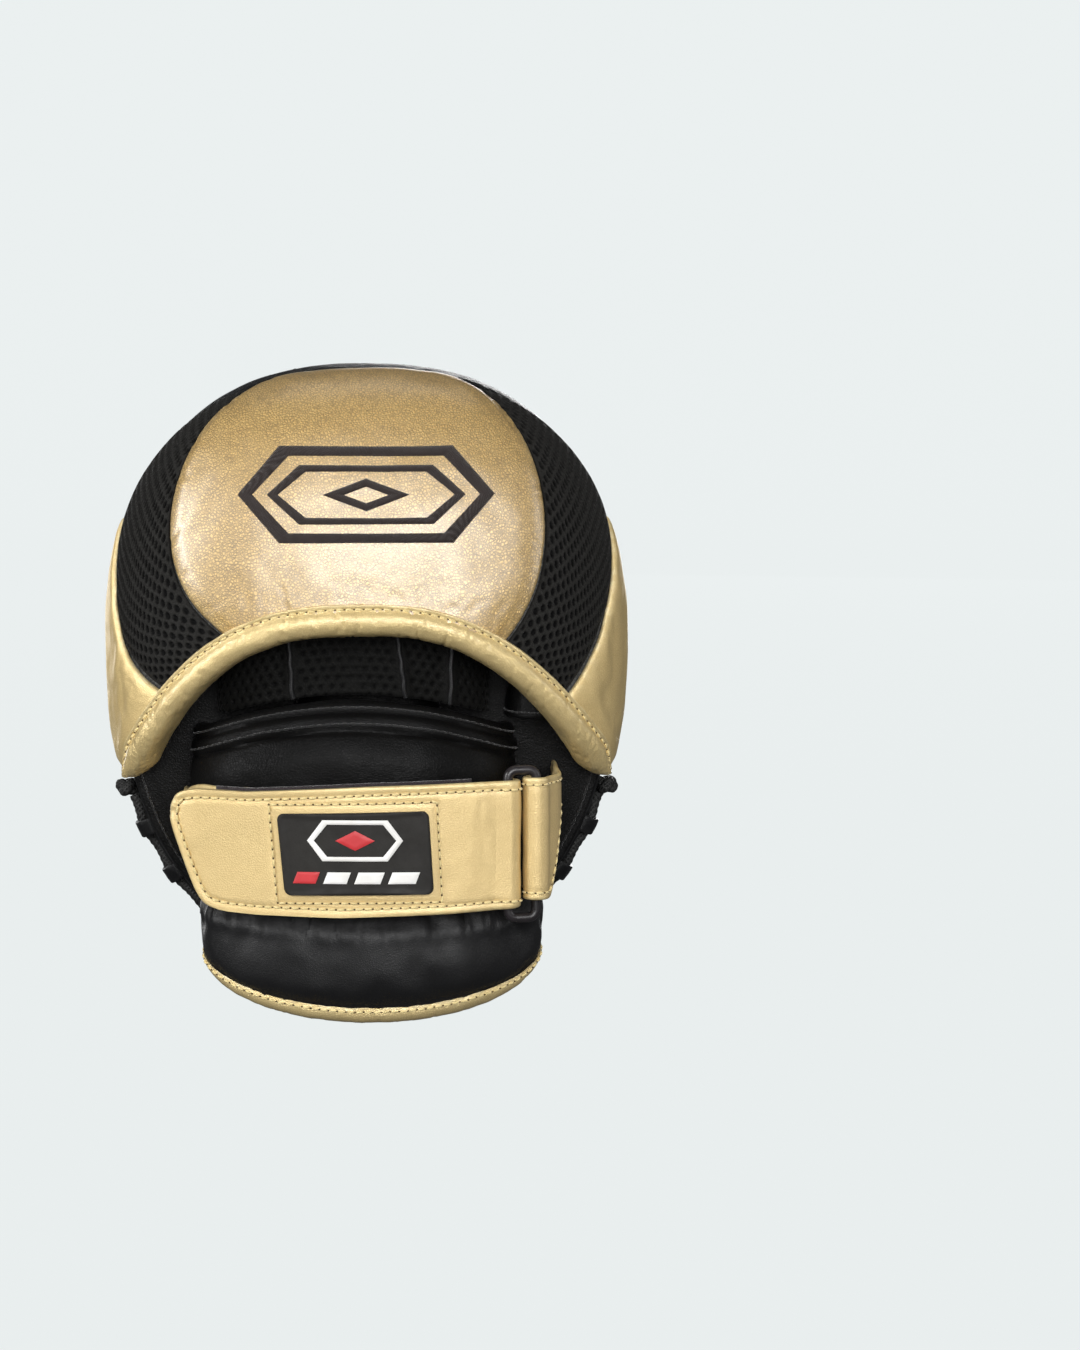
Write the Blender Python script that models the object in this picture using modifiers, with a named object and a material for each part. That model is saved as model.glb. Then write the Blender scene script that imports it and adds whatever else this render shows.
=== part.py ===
"""A focus mitt: the padded target that a boxing coach wears on one hand.

Millimetres inside the script, metres in the scene. X points to the thumb side, Z to the finger tips
and Y to the strike face, so the hand side faces -Y. The origin is the middle of the hand pocket.
"""
import math

import bmesh
import bpy
from mathutils import Matrix, Vector

MM = 0.001

# Outline of the strike pad, a rounded form that is taller than wide.
PAD_HALF_WIDTH = 92.0
PAD_CENTRE_Z = 35.0
PAD_TOP = 101.0
PAD_BOTTOM = 119.0
POWER_TOP = 2.4
POWER_BOTTOM = 2.3
OUTLINE_STEPS = 48

# Layers of the pad, from the hand side to the strike face.
CLEARANCE = 0.3
CURVED_CLEARANCE = 0.8
REAR_Y = 15.9
REAR_PANEL = 1.5
BOARD = 3.0
CORE_FOAM = 12.9
IMPACT_FOAM = 15.8
LEATHER = 1.6
FACE_Y = 52.0
FACE_EDGE_Y = 44.9
FACE_EDGE_RADIUS = 7.0
FACE_INSET = 0.6
WELT_RADIUS = 1.5
WALL_FRONT_Y = FACE_EDGE_Y - 2 * WELT_RADIUS - CLEARANCE

# Target and marks printed on the strike face.
TARGET_Z = 27.0
MOTIF_Z = 107.0
BARS_Z = (-53.5, -46.5)
BARS_X = ((23.0, 9.5), (6.5, -9.0), (-12.0, -27.5))
BAR_LEAN = 4.0
DISC_RADIUS = 20.0
PRINT = 0.4
RINGS = (("target_ring_inner", 20.6, 25.0), ("target_ring_middle", 27.0, 29.2),
         ("target_ring_outer", 32.4, 34.2))

# Hood over the fingers, half of a rounded dome cut off along a bowed rim.
HOOD_HALF_WIDTH = 95.5
HOOD_TOP = 99.5
HOOD_BOTTOM = 119.0
HOOD_DEPTH = 44.0
HOOD_REAR_Y = REAR_Y - CLEARANCE
RIM_PEAK_X = 2.0
RIM_PEAK_Z = 43.1
RIM_DROP = 56.9
RIM_HALF_WIDTH = 87.0
RIM_POWER_LEFT = 3.0
RIM_POWER_RIGHT = 2.3
HOOD_SPREAD = math.radians(119.4)
HOOD_END = 0.965
HOOD_LAYER_END = 0.95
HOOD_PADDING = 5.0
HOOD_LINER = 1.2
BINDING = 1.1
SEAM_GAP = 0.0035
EMBLEM_Z = 91.0
EMBLEM_LIFT = 1.0
EMBLEM_THREAD = 0.6

# Hand pocket.
POCKET_X = -5.0
BACK_PAD_HALF_WIDTH = 59.0
BACK_PAD_TOP_Z = 17.5
BACK_PAD_BOTTOM_Z = -52.5
BACK_PAD = 7.0
SLEEVE_HALF_WIDTH = 50.0
SLEEVE_END_Z = 100.0
PALM_BALL_RADIUS = 29.0
PALM_BALL_HEIGHT = 10.0

# Wrist cuff, an oval padded tube cut off lower on the hand side.
CUFF_X = 1.5
CUFF_Y = -8.5
CUFF_HALF_WIDTH = 61.0
CUFF_HALF_DEPTH = 22.0
CUFF_TOP_Z = -55.0
CUFF_PAD = 7.0
CUFF_BULGE = 4.0
CUFF_FLARE = 1.8
CUFF_STEPS = 28
CUFF_BINDING_SHARE = 0.8
CUFF_SHARES = (0.0, 0.15, 0.35, 0.6, CUFF_BINDING_SHARE, 1.0)

# Strap, ring and tab.
STRAP_TOP_Z = -11.0
STRAP_BOTTOM_Z = -57.3
STRAP_LEATHER = 2.4
FLAP_LENGTH = 165.0
BASE_STRAP = 2.0
TAB = 1.8
PATCH = 1.2
TAPE = 1.1
TAB_ROLL = 4.9
BAR_RADIUS = 1.8
RING_CORNER = 3.0
FOLD_BAR = (50.5, -33.5)
TAB_BAR = (60.7, -31.5)
RING_TOP_Z = -7.0
RING_BOTTOM_Z = -60.8

# Lace and its loops.
LACE_Y = 30.0
LACE_RADIUS = 2.4
LACE_LOOPS = 11
LOOP_HALF_WIDTH = 3.2
LOOP_LIFT = 7.0
LOOP_HALF_LENGTH = 7.2
LOOP_LEATHER = 1.2
LACE_END = math.radians(-36.0)
WALL_JOINT = math.radians(-25.5)


def srgb(red, green, blue):
    """Linear colour from the everyday 0 to 255 values."""
    return tuple(((c / 255 + 0.055) / 1.055) ** 2.4 for c in (red, green, blue)) + (1.0,)


FINISHES = {
    "hood_gold": (srgb(190, 163, 108), 0.38, 0.6),
    "side_gold": (srgb(196, 172, 120), 0.4, 0.5),
    "face_gold": (srgb(165, 132, 80), 0.4, 0.6),
    "binding_gold": (srgb(205, 184, 130), 0.42, 0.4),
    "strap_gold": (srgb(216, 190, 134), 0.5, 0.3),
    "black_leather": (srgb(40, 40, 43), 0.45, 0.0),
    "black_mesh": (srgb(30, 30, 29), 0.85, 0.0),
    "black_cord": (srgb(26, 26, 25), 0.7, 0.0),
    "black_tape": (srgb(32, 28, 30), 0.95, 0.0),
    "black_plastic": (srgb(42, 38, 40), 0.35, 0.0),
    "black_rubber": (srgb(50, 48, 46), 0.6, 0.0),
    "foam": (srgb(120, 120, 118), 0.9, 0.0),
    "board": (srgb(70, 72, 76), 0.6, 0.0),
    "print_black": (srgb(10, 10, 10), 0.4, 0.0),
    "print_white": (srgb(225, 222, 212), 0.5, 0.0),
    "label_white": (srgb(230, 230, 228), 0.7, 0.0),
    "brown_thread": (srgb(58, 43, 38), 0.6, 0.0),
}


def clear_scene():
    for thing in list(bpy.data.objects):
        bpy.data.objects.remove(thing, do_unlink=True)


def finish_material(finish):
    material = bpy.data.materials.get(finish)
    if material is None:
        colour, roughness, metallic = FINISHES[finish]
        material = bpy.data.materials.new(finish)
        material.use_nodes = True
        shader = material.node_tree.nodes["Principled BSDF"]
        shader.inputs["Base Color"].default_value = colour
        shader.inputs["Roughness"].default_value = roughness
        shader.inputs["Metallic"].default_value = metallic
    return material


def add_object(name, data, finish):
    part = bpy.data.objects.new(name, data)
    data.materials.append(finish_material(finish))
    bpy.data.collections["focus_mitt"].objects.link(part)
    return part


def set_origin(part, point):
    """Moves the object's origin to a point in mm and leaves its shape where it is."""
    shift = Vector(point) * MM
    part.data.transform(Matrix.Translation(-shift))
    part.location += shift


# ---- makers ---------------------------------------------------------------------------------

def skin(name, rows, thickness, finish, wrap=False, cap=False, inside=(0.0, 40.0, 20.0)):
    """A sheet through rows of points, thickened inwards; inside is a point that it faces away from."""
    mesh = bmesh.new()
    grid = [[mesh.verts.new(Vector(p) * MM) for p in row] for row in rows]
    pairs = list(zip(grid, grid[1:]))
    if wrap:
        pairs.append((grid[-1], grid[0]))
    for first, second in pairs:
        for k in range(len(first) - 1):
            mesh.faces.new((first[k], second[k], second[k + 1], first[k + 1]))
    if cap:
        mesh.faces.new([row[-1] for row in grid])
    bmesh.ops.recalc_face_normals(mesh, faces=mesh.faces)
    centre = Vector(inside) * MM
    facing = sum(f.normal.dot(f.calc_center_median() - centre) * f.calc_area() for f in mesh.faces)
    if facing < 0:
        bmesh.ops.reverse_faces(mesh, faces=mesh.faces)
    data = bpy.data.meshes.new(name)
    mesh.to_mesh(data)
    mesh.free()
    data.shade_smooth()
    part = add_object(name, data, finish)
    solid = part.modifiers.new("thickness", "SOLIDIFY")
    solid.thickness = thickness * MM
    solid.offset = -1.0
    solid.use_even_offset = True
    solid.use_quality_normals = True
    return part


def slab(name, outlines, y_low, y_high, finish, bevel=0.0):
    """A flat piece between two depths, from one outline in X and Z, or two for a ring."""
    curve = bpy.data.curves.new(name, "CURVE")
    curve.dimensions = "2D"
    curve.fill_mode = "BOTH"
    curve.extrude = (0.5 * (y_high - y_low) - bevel) * MM
    curve.bevel_depth = bevel * MM
    curve.bevel_resolution = 1
    curve.offset = -bevel * MM
    for outline in outlines:
        spline = curve.splines.new("POLY")
        spline.points.add(len(outline) - 1)
        for point, (x, z) in zip(spline.points, outline):
            point.co = (x * MM, z * MM, 0.0, 1.0)
        spline.use_cyclic_u = True
    part = add_object(name, curve, finish)
    part.rotation_euler = (math.pi / 2, 0.0, 0.0)
    part.location = (0.0, 0.5 * (y_low + y_high) * MM, 0.0)
    return part


def rod(name, points, radius, finish, cyclic=False):
    """A round cord or wire along points in mm."""
    curve = bpy.data.curves.new(name, "CURVE")
    curve.dimensions = "3D"
    curve.bevel_depth = radius * MM
    curve.bevel_resolution = 2
    curve.use_fill_caps = not cyclic
    spline = curve.splines.new("POLY")
    spline.points.add(len(points) - 1)
    for knot, point in zip(spline.points, points):
        knot.co = (point[0] * MM, point[1] * MM, point[2] * MM, 1.0)
    spline.use_cyclic_u = cyclic
    return add_object(name, curve, finish)


def ball(name, centre, radii, finish):
    data = bpy.data.meshes.new(name)
    mesh = bmesh.new()
    bmesh.ops.create_uvsphere(mesh, u_segments=12, v_segments=8, radius=MM)
    bmesh.ops.scale(mesh, vec=Vector(radii), verts=mesh.verts)
    mesh.to_mesh(data)
    mesh.free()
    data.shade_smooth()
    part = add_object(name, data, finish)
    part.location = Vector(centre) * MM
    return part


# ---- shared geometry ------------------------------------------------------------------------

def steps(first, last, count):
    """count values from first to last."""
    return [first + (last - first) * k / (count - 1) for k in range(count)]


def rounded_radius(angle, half_width, top, bottom):
    """Radius of the rounded outline at an angle from +X."""
    c, s = math.cos(angle), math.sin(angle)
    height, power = (top, POWER_TOP) if s >= 0 else (bottom, POWER_BOTTOM)
    return (abs(c / half_width) ** power + abs(s / height) ** power) ** (-1 / power)


def pad_point(angle, inset=0.0):
    """X and Z on the pad's outline, moved in square to it, and the direction out of the pad."""
    radius = rounded_radius(angle, PAD_HALF_WIDTH, PAD_TOP, PAD_BOTTOM)
    x, z = radius * math.cos(angle), radius * math.sin(angle)
    height, power = (PAD_TOP, POWER_TOP) if z >= 0 else (PAD_BOTTOM, POWER_BOTTOM)
    out = Vector((math.copysign(abs(x / PAD_HALF_WIDTH) ** (power - 1) / PAD_HALF_WIDTH, x),
                  math.copysign(abs(z / height) ** (power - 1) / height, z))).normalized()
    return x - inset * out.x, PAD_CENTRE_Z + z - inset * out.y, out


def pad_outline(inset):
    turn = [2 * math.pi * k / OUTLINE_STEPS for k in range(OUTLINE_STEPS)]
    return [pad_point(angle, inset)[:2] for angle in turn]


def circle(radius, centre_z, count=32):
    turn = [2 * math.pi * k / count for k in range(count)]
    return [(radius * math.cos(a), centre_z + radius * math.sin(a)) for a in turn]


def smooth_path(points, count):
    """Points at even steps along a smooth curve through the given ones."""
    knots = [Vector(p) for p in points]
    knots = [2 * knots[0] - knots[1]] + knots + [2 * knots[-1] - knots[-2]]
    path = []
    for place in steps(0.0, len(points) - 1.0, count):
        k = min(int(place), len(points) - 2)
        t = place - k
        a, b, c, d = knots[k:k + 4]
        path.append(0.5 * (2 * b + (c - a) * t + (2 * a - 5 * b + 4 * c - d) * t * t
                           + (3 * b - a - 3 * c + d) * t ** 3))
    return path


# ---- strike pad -----------------------------------------------------------------------------

def wall_rows(first, last, count, y_low, y_high, lift):
    """Rows of a strip that lies round the pad between two angles, lift mm off its outline."""
    rows = []
    for angle in steps(first, last, count):
        x, z, _ = pad_point(angle, -lift)
        rows.append([(x, y_low, z), (x, y_high, z)])
    return rows


def make_filling():
    rear_top = REAR_Y + REAR_PANEL
    board_low = rear_top + CLEARANCE
    core_low = board_low + BOARD + CLEARANCE
    impact_low = core_low + CORE_FOAM + CLEARANCE
    slab("rear_panel", [pad_outline(0.2)], REAR_Y, rear_top, "black_leather")
    slab("backing_board", [pad_outline(2.4)], board_low, board_low + BOARD, "board")
    slab("core_foam", [pad_outline(2.4)], core_low, core_low + CORE_FOAM, "foam")
    slab("impact_foam", [pad_outline(2.9)], impact_low, impact_low + IMPACT_FOAM, "foam", 5.0)


def make_walls():
    low = REAR_Y + REAR_PANEL + CLEARANCE
    gap = 0.4 / PAD_HALF_WIDTH
    right = WALL_JOINT
    left = math.pi - WALL_JOINT
    upper = wall_rows(right + gap, left - gap, 27, low, WALL_FRONT_Y, 0.0)
    lower = wall_rows(left + gap, right + 2 * math.pi - gap, 23, low, WALL_FRONT_Y, 0.0)
    skin("upper_wall", upper, LEATHER, "black_leather", inside=(0, 30, 35))
    skin("lower_wall", lower, LEATHER, "black_leather", inside=(0, 30, 35))
    half = 4.5 / PAD_HALF_WIDTH
    for name, angle in (("wall_joint_left", left), ("wall_joint_right", right)):
        rows = wall_rows(angle - half, angle + half, 3, low + 1, WALL_FRONT_Y - 1, 1.3)
        skin(name, rows, 1.0, "black_leather", inside=(0, 30, 35))
    label = wall_rows(math.radians(161.0), math.radians(186.5), 6, 24.0, 36.0, 0.8)
    skin("size_label", label, 0.5, "label_white", inside=(0, 30, 35))


def make_strike_cover():
    levels = [(FACE_INSET, FACE_EDGE_Y), (FACE_INSET, FACE_EDGE_Y + 1.0)]
    for turn in steps(25.0, 90.0, 4):
        angle = math.radians(turn)
        levels.append((FACE_INSET + FACE_EDGE_RADIUS * (1 - math.cos(angle)),
                       FACE_Y - FACE_EDGE_RADIUS * (1 - math.sin(angle))))
    rows = []
    for k in range(OUTLINE_STEPS):
        angle = 2 * math.pi * k / OUTLINE_STEPS
        row = []
        for inset, y in levels:
            x, z, _ = pad_point(angle, inset)
            row.append((x, y, z))
        rows.append(row)
    skin("strike_cover", rows, LEATHER, "face_gold", wrap=True, cap=True, inside=(0, 30, 35))
    welt = []
    for x, z in pad_outline(FACE_INSET):
        welt.append((x, FACE_EDGE_Y - WELT_RADIUS - 0.15, z))
    rod("face_welt", welt, WELT_RADIUS - 0.15, "black_leather", cyclic=True)


def hexagon(half_length, half_height, centre_z, slope=0.68):
    """A long hexagon with pointed ends, the mitt's plain decoration."""
    side = half_length * slope
    return [(half_length, centre_z), (side, centre_z + half_height), (-side, centre_z + half_height),
            (-half_length, centre_z), (-side, centre_z - half_height), (side, centre_z - half_height)]


def make_prints():
    low = FACE_Y + CLEARANCE
    high = low + PRINT
    slab("target_disc", [circle(DISC_RADIUS, TARGET_Z)], low, high, "print_black")
    for name, inner, outer in RINGS:
        slab(name, [circle(outer, TARGET_Z), circle(inner, TARGET_Z)], low, high, "print_white")
    slab("face_motif", [hexagon(18.5, 8.0, MOTIF_Z), hexagon(15.0, 5.8, MOTIF_Z)], low, high,
         "print_black")
    bar_low, bar_high = BARS_Z
    for k, (start, end) in enumerate(BARS_X, 1):
        bar = [(start, bar_low), (start - BAR_LEAN, bar_high), (end - BAR_LEAN, bar_high), (end, bar_low)]
        slab(f"face_bar_{k}", [bar], low, high, "print_white" if k == 1 else "print_black")


def make_lace():
    first, last = math.pi - LACE_END, 2 * math.pi + LACE_END
    route = []
    for angle in steps(first, last, 30):
        x, z, _ = pad_point(angle, -(LACE_RADIUS + 0.4))
        route.append((x, LACE_Y, z))
    rod("lace", route, LACE_RADIUS, "black_cord")
    margin = math.radians(5.0)
    for k, angle in enumerate(steps(first + margin, last - margin, LACE_LOOPS), 1):
        x, z, out = pad_point(angle)
        along = Vector((-out.y, out.x))
        rows = []
        for side in (-LOOP_HALF_WIDTH, LOOP_HALF_WIDTH):
            row = []
            for turn in steps(4.0, 176.0, 7):
                lift = LOOP_LIFT * math.sin(math.radians(turn))
                y = LACE_Y + LOOP_HALF_LENGTH * math.cos(math.radians(turn))
                row.append((x + out.x * lift + along.x * side, y, z + out.y * lift + along.y * side))
            rows.append(row)
        skin(f"lace_loop_{k:02d}", rows, LOOP_LEATHER, "black_leather", inside=(x, LACE_Y, z))
    for name, angle in (("lace_knot_left", first), ("lace_knot_right", last)):
        sign = 1 if name.endswith("right") else -1
        x, z, out = pad_point(angle + sign * math.radians(3.4), -5.6)
        ball(name, (x, LACE_Y, z), (5.0, 5.4, 5.0), "black_cord")


# ---- hood -----------------------------------------------------------------------------------

def dome_point(x, z):
    """The hood's outer surface at X and Z, and the direction out of it."""
    dz = z - PAD_CENTRE_Z
    height, power = (HOOD_TOP, POWER_TOP) if dz >= 0 else (HOOD_BOTTOM, POWER_BOTTOM)
    total = abs(x / HOOD_HALF_WIDTH) ** power + abs(dz / height) ** power
    rise = math.sqrt(max(0.0, 1 - min(1.0, total) ** (2 / power)))
    y = HOOD_REAR_Y - HOOD_DEPTH * rise
    scale = max(total, 1e-6) ** (2 / power - 1)
    out = Vector((scale * math.copysign(abs(x / HOOD_HALF_WIDTH) ** (power - 1), x) / HOOD_HALF_WIDTH,
                  -rise / HOOD_DEPTH,
                  scale * math.copysign(abs(dz / height) ** (power - 1), dz) / height))
    return Vector((x, y, z)), out.normalized()


def rim_point(u):
    """X and Z of the hood's open edge, u from -1 at the left tip to 1 at the right one."""
    x = RIM_HALF_WIDTH * math.sin(u * math.pi / 2)
    sign, power = (1, RIM_POWER_RIGHT) if x > RIM_PEAK_X else (-1, RIM_POWER_LEFT)
    share = abs(x - RIM_PEAK_X) / (RIM_HALF_WIDTH - sign * RIM_PEAK_X)
    return Vector((x, RIM_PEAK_Z - RIM_DROP * share ** power))


def back_edge_point(u):
    """X and Z where the hood meets the pad, across from rim_point(u)."""
    angle = math.pi / 2 - u * HOOD_SPREAD
    radius = rounded_radius(angle, HOOD_HALF_WIDTH, HOOD_TOP, HOOD_BOTTOM)
    return Vector((radius * math.cos(angle), PAD_CENTRE_Z + radius * math.sin(angle)))


def hood_point(u, w, depth=0.0):
    """A point of the hood: w is 0 at the rim and 1 at the pad, depth is mm inside its surface."""
    rim, back = rim_point(u), back_edge_point(u)
    flat = rim + (back - rim) * math.sin(w * math.pi / 2)
    point, out = dome_point(flat.x, flat.y)
    return point - out * depth


def seam_inner(w):
    """Where the centre panel meets the mesh, as u on the right-hand side."""
    return 0.34 + 0.51 * w - 1.11 * w ** 2 + 0.43 * w ** 3


def seam_outer(w):
    """Where the mesh meets the side panel, as u on the right-hand side."""
    return 0.566 + 0.283 * w - 0.332 * w ** 2


def seam_at(seam, sign, w):
    """u of a seam on one side; the seams on the little finger's side bow out a little more."""
    bow = 0.05 * math.sin(w * math.pi) if sign < 0 else 0.0
    return sign * (seam(w) + bow)


def hood_rows(left, right, columns, rows, depth, last=1.0):
    """Rows over a hood panel that lies between two seams, each a function of w."""
    grid = []
    for w in steps(0.0, last, rows):
        grid.append([hood_point(u, w, depth) for u in steps(left(w), right(w), columns)])
    return grid


def make_hood():
    gap = SEAM_GAP
    inside = (0.0, 10.0, 30.0)

    def side(seam, sign, shift):
        return lambda w: seam_at(seam, sign, w) + sign * shift

    def end(sign):
        return lambda w: sign * HOOD_END

    centre = hood_rows(side(seam_inner, -1, -gap), side(seam_inner, 1, -gap), 15, 10, 0.0)
    skin("hood_centre_panel", centre, LEATHER, "hood_gold", inside=inside)
    for word, sign in (("left", -1), ("right", 1)):
        mesh_rows = hood_rows(side(seam_inner, sign, gap), side(seam_outer, sign, -gap), 5, 10, 0.0)
        skin(f"hood_mesh_{word}", mesh_rows, LEATHER, "black_mesh", inside=inside)
        side_rows = hood_rows(side(seam_outer, sign, gap), end(sign), 7, 9, 0.0)
        skin(f"hood_side_{word}", side_rows, LEATHER, "side_gold", inside=inside)
    inner = LEATHER + CURVED_CLEARANCE
    padding = hood_rows(end(-1), end(1), 25, 9, inner, HOOD_LAYER_END)
    skin("hood_padding", padding, HOOD_PADDING, "foam", inside=inside)
    inner += HOOD_PADDING + CURVED_CLEARANCE
    liner = hood_rows(end(-1), end(1), 25, 9, inner, HOOD_LAYER_END)
    skin("hood_liner", liner, HOOD_LINER, "black_mesh", inside=inside)
    make_hood_binding(inner + HOOD_LINER)


def make_hood_binding(inner):
    """A folded strip over the hood's open edge; inner is how thick the hood is there."""
    lift = CURVED_CLEARANCE + BINDING
    fold = ((9.0, -lift), (0.0, -lift), (-1.5, -0.4), (-2.0, 2.0), (-2.0, inner - 2.0),
            (-1.5, inner + 0.4), (0.0, inner + lift), (5.0, inner + lift))
    rows = []
    for u in steps(-HOOD_END, HOOD_END, 31):
        reach = (back_edge_point(u) - rim_point(u)).length * math.pi / 2
        start = hood_point(u, 0.0)
        along = (hood_point(u, 0.02) - start).normalized()
        row = []
        for distance, depth in fold:
            w = min(0.8, max(0.0, distance / reach))
            row.append(hood_point(u, w, depth) + along * min(0.0, distance))
        rows.append(row)
    part = skin("hood_binding", rows, BINDING, "binding_gold", inside=(0.0, -5.0, 60.0))
    part.modifiers["thickness"].use_even_offset = False


def make_emblem():
    centre_z = EMBLEM_Z

    def ring(name, outer, inner, finish):
        rows = []
        for (x0, z0), (x1, z1) in zip(outer, inner):
            row = []
            for t in (0.0, 1.0):
                x, z = x0 + (x1 - x0) * t, z0 + (z1 - z0) * t
                point, out = dome_point(x, z)
                row.append(point + out * EMBLEM_LIFT)
            rows.append(row)
        skin(name, rows, EMBLEM_THREAD, finish, wrap=True, inside=(0.0, 10.0, 90.0))

    def dense(corners, per_side):
        points = []
        for (x0, z0), (x1, z1) in zip(corners, corners[1:] + corners[:1]):
            points += [(x0 + (x1 - x0) * k / per_side, z0 + (z1 - z0) * k / per_side)
                       for k in range(per_side)]
        return points

    ring("hood_emblem_frame", dense(hexagon(46.0, 17.0, centre_z), 4),
         dense(hexagon(40.5, 13.4, centre_z), 4), "brown_thread")
    ring("hood_emblem_line", dense(hexagon(35.5, 10.4, centre_z), 4),
         dense(hexagon(31.5, 8.0, centre_z), 4), "brown_thread")
    diamond = [(15.5, centre_z), (0.0, centre_z + 5.8), (-15.5, centre_z), (0.0, centre_z - 5.8)]
    small = [(8.0, centre_z), (0.0, centre_z + 2.8), (-8.0, centre_z), (0.0, centre_z - 2.8)]
    ring("hood_emblem_core", dense(diamond, 2), dense(small, 2), "brown_thread")


# ---- hand pocket ----------------------------------------------------------------------------

def arch_row(centre_x, half_width, base_y, top_y, z, power=2.6, count=15, z_of_x=None):
    """A row of points over an arch that stands on the back of the pad."""
    row = []
    for angle in steps(0.0, math.pi, count):
        c, s = math.cos(angle), math.sin(angle)
        x = centre_x - half_width * math.copysign(abs(c) ** (2 / power), c)
        y = base_y - (base_y - top_y) * abs(s) ** (2 / power)
        row.append((x, y, z_of_x(x) if z_of_x else z))
    return row


def back_pad_top(x):
    return BACK_PAD_TOP_Z - 12.0 * ((x - POCKET_X) / BACK_PAD_HALF_WIDTH) ** 2


def make_pocket():
    base = HOOD_REAR_Y - 0.7
    inside = (POCKET_X, 30.0, 0.0)
    heights = ((0.0, -17.0), (0.25, -21.0), (0.6, -27.0), (1.0, -29.0))
    rows = []
    for share, top_y in heights:
        def level(x, share=share):
            return back_pad_top(x) * (1 - share) + BACK_PAD_BOTTOM_Z * share
        rows.append(arch_row(POCKET_X, BACK_PAD_HALF_WIDTH, base, top_y, 0.0, z_of_x=level))
    skin("back_of_hand_pad", rows, BACK_PAD, "black_leather", inside=inside)

    rows = []
    for share in steps(0.0, 1.0, 7):
        def level(x, share=share):
            return (back_pad_top(x) + 0.6) * (1 - share) + SLEEVE_END_Z * share
        narrow = 1 - 0.3 * share ** 2
        lift = math.sqrt(max(0.0, 1 - (share * 0.97) ** 4))
        top_y = base - (base + 14.0) * (0.93 * lift + 0.07) * (1 - 0.1 * share)
        rows.append(arch_row(POCKET_X, SLEEVE_HALF_WIDTH * narrow, base, top_y, 0.0, z_of_x=level))
    skin("finger_sleeve", rows, 1.6, "black_mesh", inside=inside)

    rows = []
    for share in steps(0.0, 1.0, 6):
        lift = math.sqrt(max(0.0, 1 - (share * 0.95) ** 3))
        top_y = base - 17.5 * (0.85 * lift + 0.15)
        rows.append(arch_row(61.0 + 3.0 * share, 10.5 - 2.0 * share, base, top_y, 8.0 + 50.0 * share,
                             power=2.2, count=11))
    skin("thumb_stall", rows, 1.6, "black_leather", inside=(66.0, 30.0, 30.0))

    levels = [(PALM_BALL_RADIUS * math.cos(math.radians(t)), PALM_BALL_HEIGHT * math.sin(math.radians(t)))
              for t in (0, 20, 40, 60, 78)]
    data = bpy.data.meshes.new("palm_ball")
    mesh = bmesh.new()
    rings = []
    for radius, height in [(PALM_BALL_RADIUS, -1.5)] + levels:
        turn = [2 * math.pi * k / 20 for k in range(20)]
        rings.append([mesh.verts.new(Vector((radius * math.cos(a), base - 1.5 - height,
                                             radius * math.sin(a))) * MM) for a in turn])
    for first, second in zip(rings, rings[1:]):
        for k in range(20):
            mesh.faces.new((first[k], first[k - 1], second[k - 1], second[k]))
    mesh.faces.new(rings[0])
    mesh.faces.new(rings[-1])
    bmesh.ops.recalc_face_normals(mesh, faces=mesh.faces)
    mesh.to_mesh(data)
    mesh.free()
    data.shade_smooth()
    add_object("palm_ball", data, "black_leather")


# ---- cuff -----------------------------------------------------------------------------------

def cuff_low(turn):
    """Height of the cuff's lower edge; turn is 0 at the back of the wrist."""
    return -79.0 - 17.5 * math.cos(turn) - 1.5 * math.cos(2 * turn)


def cuff_point(turn, share):
    """A point of the cuff's outer face; share is 0 at its top edge and 1 at its lower one."""
    bulge = CUFF_BULGE * math.sin(min(1.0, share * 1.15) * math.pi) ** 0.8 if share > 0 else 0.0
    front = 0.5 * (1 + math.cos(turn))
    x = CUFF_X + (CUFF_HALF_WIDTH + 0.35 * bulge) * math.sin(turn)
    y = CUFF_Y - (CUFF_HALF_DEPTH + (bulge + CUFF_FLARE * share) * front) * math.cos(turn)
    z = CUFF_TOP_Z + (cuff_low(turn) - CUFF_TOP_Z) * share
    return x, y, z


def cuff_frame(turn, share=1.0):
    """The direction out of the cuff's face, and the one down along it."""
    step = 0.01
    here = Vector(cuff_point(turn, share))
    down = (here - Vector(cuff_point(turn, share - step))).normalized()
    round_ = Vector(cuff_point(turn + step, share)) - Vector(cuff_point(turn - step, share))
    out = down.cross(round_).normalized()
    middle = Vector((CUFF_X, CUFF_Y, here.z))
    return (out if out.dot(here - middle) > 0 else -out), down


def make_cuff():
    turns = [2 * math.pi * k / CUFF_STEPS for k in range(CUFF_STEPS)]
    inside = (CUFF_X, CUFF_Y, -70.0)
    rows = [[cuff_point(t, s) for s in CUFF_SHARES] for t in turns]
    pad = skin("cuff_pad", rows, CUFF_PAD, "black_leather", wrap=True, inside=inside)
    lift = CURVED_CLEARANCE + BINDING
    fold = ((0.0, -lift), (0.8, -1.0), (2.6, 0.6), (2.6, CUFF_PAD - 0.4), (0.8, CUFF_PAD + lift + 0.4),
            (-6.0, CUFF_PAD + lift + 0.4))
    rows = []
    for turn in turns:
        out, down = cuff_frame(turn)
        low = Vector(cuff_point(turn, 1.0))
        out_above, _ = cuff_frame(turn, CUFF_BINDING_SHARE)
        row = [Vector(cuff_point(turn, CUFF_BINDING_SHARE)) + out_above * lift]
        row += [low + down * drop - out * depth for drop, depth in fold]
        rows.append(row)
    edge = skin("cuff_binding", rows, BINDING, "binding_gold", wrap=True, inside=inside)
    edge.modifiers["thickness"].use_even_offset = False
    for part in (pad, edge):
        set_origin(part, (0.0, -31.0, CUFF_TOP_Z))


# ---- strap ----------------------------------------------------------------------------------

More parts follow.
